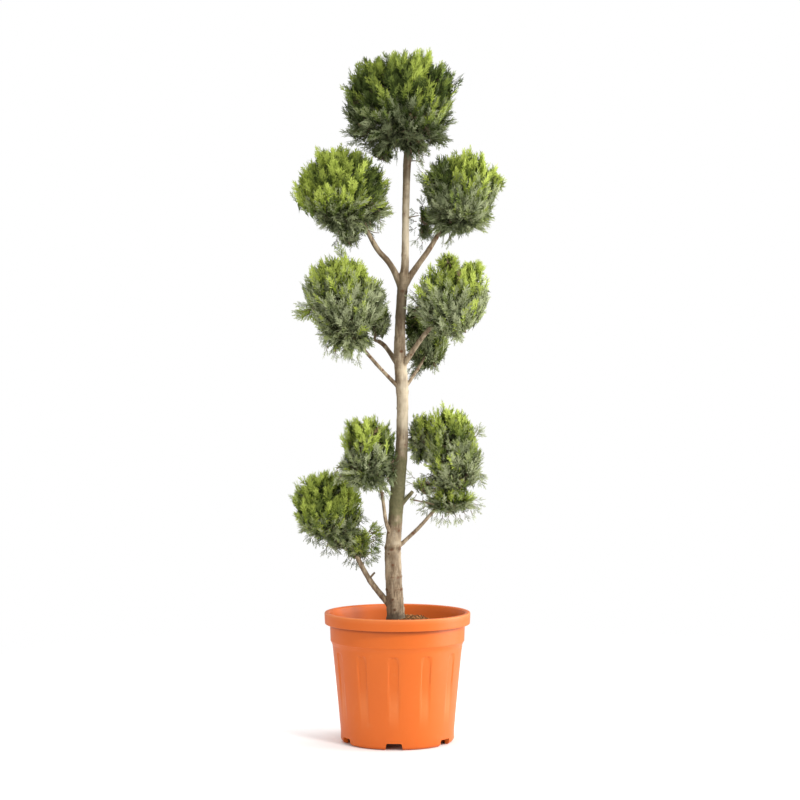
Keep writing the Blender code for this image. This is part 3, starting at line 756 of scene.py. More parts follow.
def twigTree():
    tree = Tree("grow_twigs", {"Sides": "Int", "Thickness": "Float", "Bark": "Material"})
    line = tree.add("GeometryNodeMeshToCurve", None, {"Mesh": tree.given("Geometry")})
    circle = tree.add("GeometryNodeCurvePrimitiveCircle", None,
                      {"Resolution": tree.given("Sides"), "Radius": 1.0})
    tube = tree.add("GeometryNodeCurveToMesh", None, {
        "Curve": line, "Profile Curve": circle, "Fill Caps": True,
        "Scale": tree.named("thickness", "FLOAT") * tree.given("Thickness")})
    return tree.finish(tube, {"Material": tree.given("Bark")})


growFoliage = foliageTree()
growTwigs = twigTree()


# Masses: the lobes of the solids, with how thickly each is leaved

def lobe(middle, half, bright=0.0, hang=0.0, length=1.0, full=1.0, thinBelow=0.0, form=(), fringe=(),
         grey=0.4, side=0.0):
    # bright shifts its tints, hang lets its sprays droop, length scales them, full is the share of
    # clumps it keeps, thinBelow leaves its underside open, grey is how far up it has grown grey, side is
    # how much painted light brightens it on the right. form is its clipped outline seen from the front:
    # (degrees, how much further it reaches there). fringe is loose branchlets that stand out of it:
    # (from degrees, to degrees, how many, how long, tint).
    return {"middle": Vector(middle), "half": Vector(half), "bright": bright, "hang": hang,
            "length": length, "full": full, "thinBelow": thinBelow, "form": form, "fringe": fringe,
            "grey": grey, "side": side}


masses = {
    "mass_top": ("trunk", (
        lobe((0.007, 0.0, 1.488), (0.134, 0.128, 0.121), -0.2, thinBelow=0.1, grey=0.41, side=0.14,
             form=((0, 0.02), (10, -0.08), (26, 0.12), (45, 0.05), (62, 0.04), (80, -0.01), (105, -0.04),
                   (125, -0.02), (145, 0.0), (170, 0.04), (190, 0.04), (205, 0.03), (222, 0.36), (240, 0.32),
                   (262, 0.03), (284, 0.12), (302, 0.5), (320, 0.1), (332, -0.02), (345, -0.06)),
             fringe=((258, 268, 5, 0.03, "greyDark"), (284, 302, 7, 0.028, "greyDark"))),
        lobe((-0.037, -0.012, 1.362), (0.034, 0.028, 0.028), -0.3, 0.9, 0.7))),
    "mass_upper_left": ("bough_upper_left", (
        lobe((-0.13, -0.02, 1.279), (0.116, 0.108, 0.101), 0.08, thinBelow=0.1, grey=0.4, side=-0.12,
             form=((0, -0.04), (20, -0.04), (80, 0.02), (115, 0.02), (142, -0.11), (160, -0.12), (180, 0.05),
                   (200, -0.2), (215, -0.28), (242, -0.02), (280, 0.22), (320, 0.1), (345, 0.03)),
             fringe=((262, 284, 5, 0.014, "greyDark"), (300, 335, 7, 0.012, "greyGreen"))),
        lobe((-0.112, -0.02, 1.174), (0.032, 0.028, 0.029), 0.05, 0.2, 0.7, 0.9, grey=0.7,
             fringe=((235, 300, 8, 0.024, "greyDark"),)))),
    "mass_upper_right": ("bough_upper_right", (
        lobe((0.15, 0.02, 1.272), (0.096, 0.096, 0.101), -0.03, thinBelow=0.1, grey=0.7, side=0.26,
             form=((0, -0.24), (10, -0.09), (40, 0.09), (80, 0.14), (100, 0.01), (125, 0.07), (160, 0.12),
                   (185, -0.14), (202, 0.12), (280, 0.0), (300, -0.08), (320, 0.0), (345, -0.17)),
             fringe=((150, 172, 4, 0.012, "leaf"), (215, 260, 7, 0.014, "greyGreen"))),
        lobe((0.226, 0.02, 1.302), (0.032, 0.032, 0.028), 0.4, 0.0, 0.85),
        lobe((0.064, 0.022, 1.205), (0.022, 0.02, 0.048), 0.0, 0.0, 0.6, 0.8, grey=0.72,
             fringe=((90, 270, 6, 0.01, "greyDark"),)))),
    "mass_mid_left": ("bough_mid_left", (
        lobe((-0.119, -0.048, 1.021), (0.103, 0.092, 0.123), 0.28, thinBelow=0.1, grey=0.78, side=-0.14,
             form=((0, 0.02), (40, -0.27), (70, -0.17), (120, -0.07), (145, 0.06), (165, -0.02), (185, -0.2),
                   (220, -0.18), (245, 0.0), (278, 0.18), (300, 0.09), (325, -0.36), (345, -0.14)),
             fringe=((88, 100, 4, 0.018, "fresh"), (185, 193, 6, 0.038, "fresh"),
                     (228, 300, 11, 0.012, "greyGreen"))),)),
    "mass_mid_left_back": ("bough_mid_left_back", (
        lobe((-0.044, 0.076, 0.982), (0.033, 0.036, 0.042), 0.0, 0.0, 0.85, 0.7, grey=0.8),)),
    "mass_mid_right": ("bough_mid_right", (
        lobe((0.132, -0.034, 1.01), (0.087, 0.085, 0.091), 0.19, thinBelow=0.1, grey=0.85, side=0.04,
             form=((0, -0.12), (20, -0.08), (40, 0.12), (80, 0.17), (110, 0.15), (140, 0.18), (170, 0.18),
                   (220, 0.0), (255, -0.16), (278, -0.42), (300, -0.6), (320, -0.52), (340, -0.25)),
             fringe=((160, 200, 5, 0.014, "greyGreen"), (268, 292, 7, 0.024, "greyGreen"))),
        lobe((0.117, -0.034, 1.111), (0.033, 0.028, 0.027), 0.68, 0.0, 0.8, grey=0.1),
        lobe((0.175, -0.034, 1.095), (0.032, 0.028, 0.025), 0.62, 0.0, 0.8, grey=0.1))),
    "mass_mid_back": ("bough_mid_back", (
        lobe((0.078, 0.11, 0.931), (0.06, 0.058, 0.086), -0.14, thinBelow=0.1, grey=0.75, side=0.32,
             form=((0, -0.22), (90, 0.0), (200, 0.08), (240, -0.04), (262, -0.66), (280, -0.44),
                   (305, -0.68), (345, -0.32)),
             fringe=((218, 242, 6, 0.014, "greyDark"), (276, 300, 4, 0.012, "greyGreen"))),
        lobe((0.036, 0.096, 0.976), (0.024, 0.03, 0.048), -0.6, 0.0, 0.7, grey=0.0),)),
    "mass_lower_left_high": ("bough_lower_left_high", (
        lobe((-0.071, -0.062, 0.672), (0.063, 0.062, 0.087), 0.13, full=0.94, thinBelow=0.1, grey=0.74,
             side=-0.3,
             form=((0, 0.0), (40, 0.16), (70, 0.06), (100, 0.02), (125, 0.14), (145, 0.1), (165, -0.06),
                   (178, -0.12), (203, 0.34), (235, 0.12), (280, 0.12), (302, 0.3), (325, 0.16)),
             fringe=((195, 215, 5, 0.014, "greyGreen"), (290, 325, 5, 0.008, "greyDark"))),
        lobe((-0.017, -0.048, 0.656), (0.021, 0.019, 0.07), -0.2, 0.0, 0.75, 0.85, grey=0.6))),
    "mass_lower_left": ("bough_lower_left", (
        lobe((-0.164, 0.034, 0.541), (0.086, 0.084, 0.092), 0.17, full=0.97, thinBelow=0.1, grey=0.42,
             form=((0, -0.03), (25, -0.07), (80, 0.06), (110, -0.06), (135, -0.02), (160, 0.05),
                   (185, -0.06), (205, -0.08), (240, -0.1), (265, -0.02), (310, 0.22), (345, 0.0)),
             fringe=((225, 285, 6, 0.01, "greyDark"), (325, 350, 4, 0.012, "leaf"))),
        lobe((-0.087, 0.03, 0.469), (0.032, 0.03, 0.027), 0.24, 0.0, 0.8, 0.85, grey=0.3,
             fringe=((-50, 0, 8, 0.012, "leaf"), (0, 50, 9, 0.017, "fresh"))),
        lobe((-0.092, 0.03, 0.442), (0.034, 0.032, 0.023), 0.1, 0.1, 0.75, 0.9, grey=0.6,
             fringe=((215, 345, 12, 0.01, "greyDark"),)),
        lobe((-0.13, 0.03, 0.464), (0.046, 0.036, 0.022), 0.05, 0.0, 0.7, 0.8, grey=0.6,
             fringe=((200, 290, 4, 0.01, "greyDark"),)))),
    "mass_lower_right": ("bough_lower_right", (
        lobe((0.137, 0.02, 0.662), (0.078, 0.078, 0.115), 0.25, full=0.87, thinBelow=0.2, grey=0.76,
             side=-0.1,
             form=((0, -0.17), (20, -0.34), (45, -0.25), (75, -0.04), (98, 0.08), (118, 0.21), (160, 0.08),
                   (200, -0.06), (235, 0.02), (270, -0.02), (310, -0.2), (340, -0.14)),
             fringe=((195, 240, 4, 0.012, "greyGreen"), (33, 41, 2, 0.018, "greyGreen"),
                     (-34, -22, 3, 0.014, "greyGreen"))),
        lobe((0.058, 0.034, 0.702), (0.041, 0.032, 0.067), 0.16, 0.0, 0.8, 0.9, grey=0.7),
        lobe((0.122, 0.02, 0.558), (0.066, 0.052, 0.04), 0.08, 0.1, 0.75, 0.75, grey=0.75,
             fringe=((180, 370, 14, 0.012, "greyGreen"),)),
        lobe((0.063, 0.004, 0.591), (0.032, 0.028, 0.028), 0.05, 0.0, 0.7, 0.65, grey=0.75,
             fringe=((120, 330, 7, 0.012, "greyGreen"),)))),
}
growth = {
    "squareness": 2.5,
    "hubDrop": 0.25,
    "lowDrop": 0.62,           # where the branchlets start to part, below the middle
    "clumpGap": 0.0275,        # between the branchlets that end at the skin
    "clumpWidth": 0.62,        # of that gap, from a branchlet's middle to its edge
    "uneven": (0.93, 1.03),    # how far one clump stands out of or below the skin
    "footShare": (0.5, 0.62),  # where its branchlet fans out, from the middle to the skin
    "spraysPerClump": 12,
    "innerPerClump": 4,
    "innerReach": (0.66, 0.84),
    "sprayLength": 0.047,
    "valley": 0.3,             # how far the skin dips between clumps
    "lift": 0.76,
    "fan": 0.45,
    "sway": 0.21,
    "lumpiness": 0.09,         # how unevenly the pompom is clipped
    "limbRoom": 0.002,
    "overrun": 1.5,
    "spaceMargin": 0.03,
    # how thick each kind of twig is at its foot and at its end
    "mainTwig": (0.003, 0.002),
    "sideTwig": (0.003, 0.0018),
    "branchlet": (0.002, 0.0012),
    "shoot": (0.001, 0.0006),
    "shootChance": 0.6,
}
# Painted light and shade on the foliage. What makes a branchlet light: its side (up and, by its lobe's side,
# right), patches over several and flecks; then each spray on it
shine = {
    "base": 0.33,
    "upper": 0.26,
    "patch": 0.7,
    "fleck": 0.3,
    "spread": 0.14,
    "tip": 0.2,
    "edge": 0.5,
    "slope": 0.2,
    "darkFrom": 0.8,  # sprays at the edge of a clump that may be painted dark as shade
    "darkChance": 0.22,
}
sprig = {
    "gap": 0.004,   # between the sprays along a loose branchlet
    "bow": -0.1,
    "sprayLength": 0.02,
    "angle": 36.0,
    "droop": 0.55,
    "depth": 0.45,  # how far to the front and back a fringe spreads
    "twig": (0.0013, 0.0005),
}


def lobeValue(one, point):
    power = growth["squareness"]
    total = sum((abs(p - m) / h) ** power for p, m, h in zip(point, one["middle"], one["half"]))
    return total ** (1.0 / power)


def spaceValue(name, point):
    return min(lobeValue(one, point) for one in masses[name][1])


def skinPoint(one, way):
    reach = Vector([d * h for d, h in zip(way, one["half"])])
    return one["middle"] + reach / lobeValue(one, one["middle"] + reach)


def evenWay(index, count, turn):
    height = 1.0 - 2.0 * (index + 0.5) / count
    ring = math.sqrt(max(0.0, 1.0 - height * height))
    angle = turn + goldenTurn * index
    return Vector((ring * math.cos(angle), ring * math.sin(angle), height))


limbArrays = []
for points, radii in limbLines.values():
    starts = np.array(points[:-1], float)
    runs = np.array(points[1:], float) - starts
    limbArrays.append((starts, runs, (runs ** 2).sum(axis=1), np.array(radii[:-1], float)))
limbStarts, limbRuns, limbSquares, limbRadii = (np.concatenate(parts) for parts in zip(*limbArrays))


def limbDistance(point):
    # From a point to the nearest limb's surface.
    away = np.array(point, float) - limbStarts
    share = np.clip((away * limbRuns).sum(axis=1) / limbSquares, 0.0, 1.0)
    gaps = np.linalg.norm(away - limbRuns * share[:, None], axis=1) - limbRadii
    return gaps.min()


def isFree(name, point):
    own = spaceValue(name, point)
    if own > growth["overrun"]:
        return False
    for other in masses:
        if other != name and spaceValue(other, point) < own + growth["spaceMargin"]:
            return False
    return limbDistance(point) > growth["limbRoom"]


def lobeArea(one):
    a, b, c = one["half"]
    p = 1.6
    return 1.12 * 4.0 * math.pi * (((a * b) ** p + (a * c) ** p + (b * c) ** p) / 3.0) ** (1.0 / p)


def nearest(point, places):
    return min(range(len(places)), key=lambda i: (places[i] - point).length_squared)


def innerTint(depth, chance):
    # Painted shade deep inside the mass: dark tints, with a dead straw here and there.
    if chance.random() < 0.04 * depth:
        return "straw"
    return chance.choice(("deep", "inner", "greyDark") if depth == 1 else ("inner", "deep"))


def tintOf(light, outward, grey, chance):
    # Sunlit tips are lime, the flanks green and the underside grey-green.
    light += chance.uniform(-0.18, 0.18)
    greyTop = 2.0 * grey - 1.05
    share = 0.9 * smoothStep(greyTop + 0.55, greyTop - 0.45, outward.z)
    if light < 0.74 + 0.45 * share and chance.random() < share:
        if light < chance.uniform(0.08, 0.34):
            return "greyDark"
        return "sage" if chance.random() > share - 0.1 else "greyGreen"
    return next((tint for tint, least in tintSteps if light > least), "deep")


def wander(chance):
    return Vector([chance.uniform(-1.0, 1.0) for _ in range(3)])


def addSpray(sprays, root, way, outward, length, tint, chance, roll=55.0):
    # Its rib runs along Y, its face along Z.
    side = way.cross(outward)
    if side.length < 0.05:
        side = way.orthogonal()
    side.normalize()
    side = Matrix.Rotation(math.radians(chance.uniform(-roll, roll)), 3, way) @ side
    turn = Matrix((side, way, side.cross(way))).transposed().to_euler()
    shape = chance.randrange(sprayShapes["count"])
    sprays.append((root, tuple(turn), length, shape, tintNames.index(tint)))


def addTwig(twigs, points, thick, thin):
    count = len(points) - 1
    twigs.append([(p, thick + (thin - thick) * i / count) for i, p in enumerate(points)])


def formShare(form, outward):
    # The outline's own shape between its two nearest angles, fading to the front and the back.
    turn = math.degrees(math.atan2(outward.z, outward.x))
    for index, (angle, share) in enumerate(form):
        nextAngle, nextShare = form[(index + 1) % len(form)]
        off, span = (turn - angle) % 360.0, (nextAngle - angle) % 360.0
        if off < span:
            return (share + (nextShare - share) * smoothStep(0.0, span, off)) * (1.0 - outward.y ** 2)
    return 0.0


def reachShare(one, outward, drift):
    # How far the shears left this side, as a share of the lobe's own skin.
    share = 1.0 + growth["lumpiness"] * noise.noise(outward * 3.0 + drift) * 1.4
    return share + formShare(one["form"], outward)


def reachPoint(one, outward, share):
    return one["middle"] + (skinPoint(one, outward) - one["middle"]) * share


def growClump(name, one, outward, drift, start, low, chance, sprays, twigs):
    # One branchlet that fans out into sprays, long in its middle and short at its edge.
    evenShare = reachShare(one, outward, drift)
    share = evenShare * chance.uniform(*growth["uneven"])
    skin = reachPoint(one, outward, share)
    radius = (skin - one["middle"]).length
    width = min(growth["clumpGap"] * growth["clumpWidth"] / radius, 0.9)
    foot = one["middle"].lerp(skin, chance.uniform(*growth["footShare"])) - up * 0.006
    if not isFree(name, foot):
        foot = one["middle"].lerp(skin, 0.72)
    if not isFree(name, foot) or not isFree(name, one["middle"].lerp(skin, 0.9)):
        return
    bend = start.lerp(foot, 0.55) + wander(chance) * 0.004
    addTwig(twigs, [start, bend, foot], *growth["branchlet"])
    length = growth["sprayLength"] * one["length"]
    # Painted light: lighter the more it faces up and, by its lobe's side, to the right; patches, flecks and
    # its lobe's bright shift it too.
    light = (shine["base"] + shine["upper"] * outward.z + shine["patch"] * noise.noise(skin * 19.0 + drift)
             + shine["fleck"] * noise.noise(skin * 55.0) + one["bright"] + one["side"] * outward.x
             + chance.uniform(-shine["spread"], shine["spread"]))
    lift = (growth["lift"] * smoothStep(-0.9, 0.0, outward.z) - one["hang"]) * chance.uniform(0.5, 1.4)
    lean = ((skin - low).normalized() * 0.7 + outward * 0.55 + up * lift).normalized()
    lean = (lean + wander(chance) * growth["sway"]).normalized()
    for _ in range(growth["spraysPerClump"]):
        offset = math.sqrt(chance.random())
        across = (outward + wander(chance).normalized() * width * offset).normalized()
        reach = reachShare(one, across, drift) * (share / evenShare)
        reach *= 1.0 - growth["valley"] * offset ** 2 * chance.uniform(0.5, 1.4)
        tip = reachPoint(one, across, reach)
        size = min(length, radius * 1.1) * chance.uniform(0.7, 1.2)
        fan = (tip - skin) / growth["clumpGap"]
        way = (lean + fan * growth["fan"] + wander(chance) * growth["sway"]).normalized()
        root = tip - way * size
        if not isFree(name, tip) or not isFree(name, root):
            continue
        if chance.random() < growth["shootChance"]:
            addTwig(twigs, [foot, root + way * size * 0.3], *growth["shoot"])
        # Painted light and shade in the clump: lighter at its middle and upper side, darker to its edge, and
        # some edge sprays dark as painted shade.
        shade = light + shine["tip"] - shine["edge"] * offset ** 2
        shade += shine["slope"] * (across.z - outward.z) / width
        if offset > shine["darkFrom"] and chance.random() < shine["darkChance"]:
            shade = -1.0
        addSpray(sprays, root, way, across, size, tintOf(shade, outward, one["grey"], chance), chance)
    # Sprays deeper in, in dark tints of painted shade.
    for number in range(growth["innerPerClump"]):
        depth = 1 if number % 3 else 2
        across = (outward + wander(chance) * width).normalized()
        inward = chance.uniform(*growth["innerReach"]) if depth == 1 else 0.6
        spot = reachPoint(one, across, share * inward)
        way = (across + wander(chance) * 0.6 + up * 0.2).normalized()
        size = min(length * 0.95, radius * 0.6)
        root = spot - way * size * 0.9
        if isFree(name, root) and isFree(name, spot):
            addSpray(sprays, root, way, across, size, innerTint(depth, chance), chance, 80.0)


def growSprig(root, run, tint, chance, sprays, twigs):
    # One loose branchlet: a thin bowed twig with small sprays to both sides and one at its tip.
    count = max(2, int(run.length / sprig["gap"]))
    bow = up * run.length * sprig["bow"] + wander(chance) * run.length * 0.06
    line = [root + run * (i / count) + bow * math.sin(math.pi * i / count) for i in range(count + 1)]
    if min(limbDistance(point) for point in line[1:]) < growth["limbRoom"]:
        return
    addTwig(twigs, line, *sprig["twig"])
    face = run.normalized().cross(wander(chance) + Vector((0.0, 0.0, 0.3))).normalized()
    for index in range(1, count + 1):
        along = (line[index] - line[index - 1]).normalized()
        size = sprig["sprayLength"] * (1.15 - 0.45 * index / count)
        for side in (-1.0, 1.0):
            turn = math.radians(side * sprig["angle"] * chance.uniform(0.7, 1.3))
            way = Matrix.Rotation(turn, 3, face) @ along
            addSpray(sprays, line[index], way, face, size * chance.uniform(0.75, 1.25), tint, chance, 35.0)
    addSpray(sprays, line[-1], along, face, sprig["sprayLength"], tint, chance, 20.0)


def growFringe(name, one, chance, sprays, twigs):
    # Loose branchlets that the shears missed, drooping where they grow from the underside.
    for first, last, count, length, tint in one["fringe"]:
        for index in range(count):
            angle = math.radians(first + (last - first) * (index + chance.uniform(0.2, 0.8)) / count)
            depth = chance.uniform(-sprig["depth"], sprig["depth"])
            flat = math.sqrt(1.0 - depth * depth)
            outward = Vector((math.cos(angle) * flat, depth, math.sin(angle) * flat))
            root = reachPoint(one, outward, reachShare(one, outward, Vector()) * chance.uniform(0.78, 0.94))
            droop = up * -sprig["droop"] * smoothStep(0.1, -0.6, outward.z)
            way = (outward + droop + wander(chance) * 0.28).normalized()
            if isFree(name, root + way * length):
                growSprig(root, way * length * chance.uniform(0.75, 1.15), tint, chance, sprays, twigs)


def growLobe(name, one, source, low, chance, sprays, twigs):
    # Twigs rise from low in the lobe to the branchlets that end at the clipped skin.
    clumps = max(4, int(lobeArea(one) / growth["clumpGap"] ** 2))
    turn = chance.uniform(0.0, fullTurn)
    drift = Vector([chance.uniform(0, 30) for _ in range(3)])
    mainCount = max(3, clumps // 8)
    mains = [low.lerp(skinPoint(one, evenWay(i, mainCount, turn)), chance.uniform(0.36, 0.5))
             for i in range(mainCount)]
    mains = [p for p in mains if limbDistance(p) > growth["limbRoom"]] or [source]
    for point in mains:
        bend = low.lerp(point, 0.5) + wander(chance) * 0.006 + up * 0.004
        addTwig(twigs, [low, bend, point], *growth["mainTwig"])
    for index in range(clumps):
        outward = (evenWay(index, clumps, turn) + wander(chance) * 0.07).normalized()
        gap = one["thinBelow"] * smoothStep(0.05, -0.75, outward.z) + 1.0 - one["full"]
        if chance.random() < gap:
            continue
        foot = one["middle"].lerp(skinPoint(one, outward), 0.55)
        growClump(name, one, outward, drift, mains[nearest(foot, mains)], low, chance, sprays, twigs)
    growFringe(name, one, chance, sprays, twigs)


def growMass(name, seed):
    chance = random.Random(seed)
    limb, lobes = masses[name]
    main = lobes[0]
    path, radii = limbLines[limb]
    sprays, twigs = [], []
    hub = main["middle"] - up * main["half"].z * growth["hubDrop"]
    forward = (path[-1] - path[-2]).normalized()
    bend = path[-1] + forward * (hub - path[-1]).length * 0.35
    stem = [Vector(p) for p in smoothPath([tuple(path[-1]), tuple(bend), tuple(hub)], 5)]
    addTwig(twigs, stem, radii[-1], radii[-1] * 0.6)
    low = main["middle"] - up * main["half"].z * growth["lowDrop"]
    growLobe(name, main, hub, low, chance, sprays, twigs)
    for one in lobes[1:]:
        source = one["middle"]
        addTwig(twigs, [hub, hub.lerp(source, 0.5) - up * 0.004, source], *growth["sideTwig"])
        growLobe(name, one, source, source, chance, sprays, twigs)
    return sprays, twigs


def foliagePiece(name, sprays, seed):
    mesh = meshFrom(name, [spray[0] for spray in sprays])
    kinds = {"turn": "FLOAT_VECTOR", "size": "FLOAT", "shape": "INT", "tint": "INT"}
    setAttributes(mesh, kinds, [spray[1:] for spray in sprays])
    item = newObject(name, mesh)
    growFoliage.put(item, Sprays=sprayShelf, Spray_Size=1.0, Size_Spread=0.1, Roll_Spread=0.25, Seed=seed)
    return bakeNodes(item)


def twigPiece(name, twigs, sides=3):
    points, edges, thickness = [], [], []
    for line in twigs:
        first = len(points)
        points += [p for p, _ in line]
        thickness += [t for _, t in line]
        edges += [(first + i, first + i + 1) for i in range(len(line) - 1)]
    mesh = meshFrom(name, points, (), edges)
    setAttributes(mesh, {"thickness": "FLOAT"}, zip(thickness))
    item = newObject(name, mesh)
    growTwigs.put(item, Sides=sides, Thickness=1.0, Bark=twigBark)
    bakeNodes(item)
    item.data.shade_smooth()
    return item


# Short bare twigs and stubs on the limbs: where each starts inside its limb, its bends, how thick
bareTwigs = (
    (((-0.062, 0.008, 0.38), (-0.056, 0.006, 0.387), (-0.053, 0.005, 0.3905)), 0.0026, 0.0022),
    (((0.03, -0.008, 0.562), (0.055, -0.011, 0.557), (0.085, -0.006, 0.55)), 0.002, 0.0012),
    (((0.086, -0.055, 0.969), (0.101, -0.064, 0.958), (0.116, -0.066, 0.942)), 0.002, 0.001),
    (((0.0195, 0.0, 1.215), (0.033, -0.008, 1.219), (0.05, -0.012, 1.222)), 0.0019, 0.001),
    (((0.023, 0.0, 1.348), (0.04, -0.006, 1.35), (0.064, -0.01, 1.346)), 0.0017, 0.0008),
    (((-0.072, -0.02, 1.19), (-0.056, -0.024, 1.182), (-0.042, -0.026, 1.18)), 0.0014, 0.0006),
)
twigSides = 8


def bareTwigPiece():
    lines = []
    for points, thick, thin in bareTwigs:
        addTwig(lines, [Vector(p) for p in smoothPath(list(points), 4)], thick, thin)
    return twigPiece("bare_twigs", lines, sides=twigSides)


barePiece = bareTwigPiece()
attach(barePiece, "root")

triangles = 0
for seed, massName in enumerate(masses):
    sprays, twigs = growMass(massName, seed)
    label = massName.replace("mass_", "")
    leaves = foliagePiece("foliage_" + label, sprays, seed)
    wood = twigPiece("twigs_" + label, twigs)
    for piece in (leaves, wood):
        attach(piece, "root")
    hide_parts(massName)
    triangles += len(leaves.data.polygons)
    print("grown", massName, len(sprays), "sprays,", len(leaves.data.polygons), "leaf triangles,",
          len(twigs), "twigs")
print("foliage triangles in all:", triangles)
dropCollection(sprayShelf)


# Pot

pot = {
    "height": 0.3, "wall": 0.003, "turn": math.radians(-3.3), "columns": 288,
    "rim": 0.17, "rimDepth": 0.027, "rimLip": 0.0075, "rimRound": 0.0036,
    "collar": 0.157, "collarFoot": 0.2315, "step": 0.0065, "body": 0.1512,
    "foot": 0.132, "footRound": 0.0068, "footTop": 0.026, "footWidth": 0.006, "floor": 0.018,
    "flutes": 12, "fluteDepth": 0.0023, "fluteTop": 0.213, "fluteFoot": 0.05, "fluteFade": 0.01,
    "fluteHalf": math.radians(5.2), "fluteEdge": math.radians(1.3),
    "notches": 6, "notchHeight": 0.0157, "notchWidth": 0.04, "notchTop": 0.7, "notchReach": 0.06,
    "notchRound": 0.004,
    "highlightSpread": (0.0022, 0.003),  # how far the painted highlight on the rim's rounded edge reaches, in and down
    "rimShadowDepth": 0.0075,           # painted shadow: how far below the rim's foot it reaches
}


def bodyRadius(height):
    share = (height - pot["footTop"]) / (pot["collarFoot"] - pot["step"] - pot["footTop"])
    return pot["foot"] + (pot["body"] - pot["foot"]) * share


def arc(cx, cz, radius, first, last, steps):
    # Points on a round edge, from one angle to another in degrees.
    turns = [math.radians(first + (last - first) * i / steps) for i in range(steps + 1)]
    return [(cx + radius * math.cos(t), cz + radius * math.sin(t)) for t in turns]


def potProfile():
    # Down the outside from the middle of the floor, over the rim, to the middle of the underside.
    top, wall, lip, edge = pot["height"], pot["wall"], pot["rimLip"], pot["rimRound"]
    rim, collar, collarFoot, body, floor = (
        pot[part] for part in ("rim", "collar", "collarFoot", "body", "floor"))
    floorTop = floor + wall
    stepFoot = collarFoot - pot["step"]
    rimFoot = top - pot["rimDepth"]
    inside = bodyRadius(floorTop) - wall
    profile = [(0.0, floorTop), (0.05, floorTop), (0.1, floorTop), (inside - 0.004, floorTop)]
    profile += [(inside, floorTop + 0.004)]
    profile += [(bodyRadius(z) - wall, z) for z in np.linspace(0.04, stepFoot - 0.002, 8)]
    profile += [(body - wall, stepFoot), (collar - 1.5 * wall, collarFoot)]
    profile += [(collar - wall, collarFoot + 0.004), (collar - wall, top - 0.016)]
    profile += arc(rim - lip, top - 0.0048, 0.0048, 165.0, 90.0, 5)
    profile += arc(rim - edge, top - edge, edge, 90.0, 0.0, 7)
    profile += [(rim - 0.0003, top - 0.012), (rim - 0.0009, rimFoot + 0.004)]
    profile += arc(rim - 0.0026, rimFoot + 0.0016, 0.0016, 0.0, -90.0, 4)
    profile += [(rim - 0.005, rimFoot), (rim - 0.0054, rimFoot + 0.006)]
    profile += [(collar + 0.001, rimFoot + 0.0066), (collar, rimFoot + 0.004)]
    profile += [(collar, rimFoot), (collar, rimFoot - 0.004), (collar, rimFoot - 0.008)]
    profile += [(collar - 0.001, collarFoot + 0.006)]
    profile += arc(collar - 0.0035, collarFoot + 0.003, 0.0025, 0.0, -70.0, 3)
    profile += [(body + 0.0008, stepFoot + 0.001), (body, stepFoot - 0.001)]
    heights = [0.2185, 0.216, 0.2145, 0.2132, 0.212, 0.21, *np.linspace(0.2, 0.06, 15), 0.052, 0.044]
    profile += [(bodyRadius(z), z) for z in heights] + [(bodyRadius(pot["footTop"]), pot["footTop"])]
    footMiddle = pot["foot"] - pot["footRound"] - 0.0002
    profile += arc(footMiddle - 0.0032, 0.0105, 0.0102, 0.0, -90.0, 8)[1:]
    inner = pot["foot"] - pot["footRound"] - pot["footWidth"]
    profile += [(inner, 0.0), (inner, floor), (0.06, floor), (0.0, floor)]
    return profile


def fluteShare(angle, height):
    # How deep a groove is here: flat-bottomed, rounded at its top, fading out below.
    if height >= pot["fluteTop"]:
        return 0.0
    spacing = fullTurn / pot["flutes"]
    turn = (angle + math.pi / 2.0) / spacing
    off = abs(turn - round(turn)) * spacing
    rise = max(0.0, height - (pot["fluteTop"] - 0.01)) / 0.011
    half = pot["fluteHalf"] * math.sqrt(max(0.0, 1.0 - min(1.0, rise) ** 2))
    across = 1.0 - smoothStep(max(0.0, half - pot["fluteEdge"]), half + 0.0001, off)
    return across * smoothStep(pot["fluteFoot"] - pot["fluteFade"], 0.15, height)


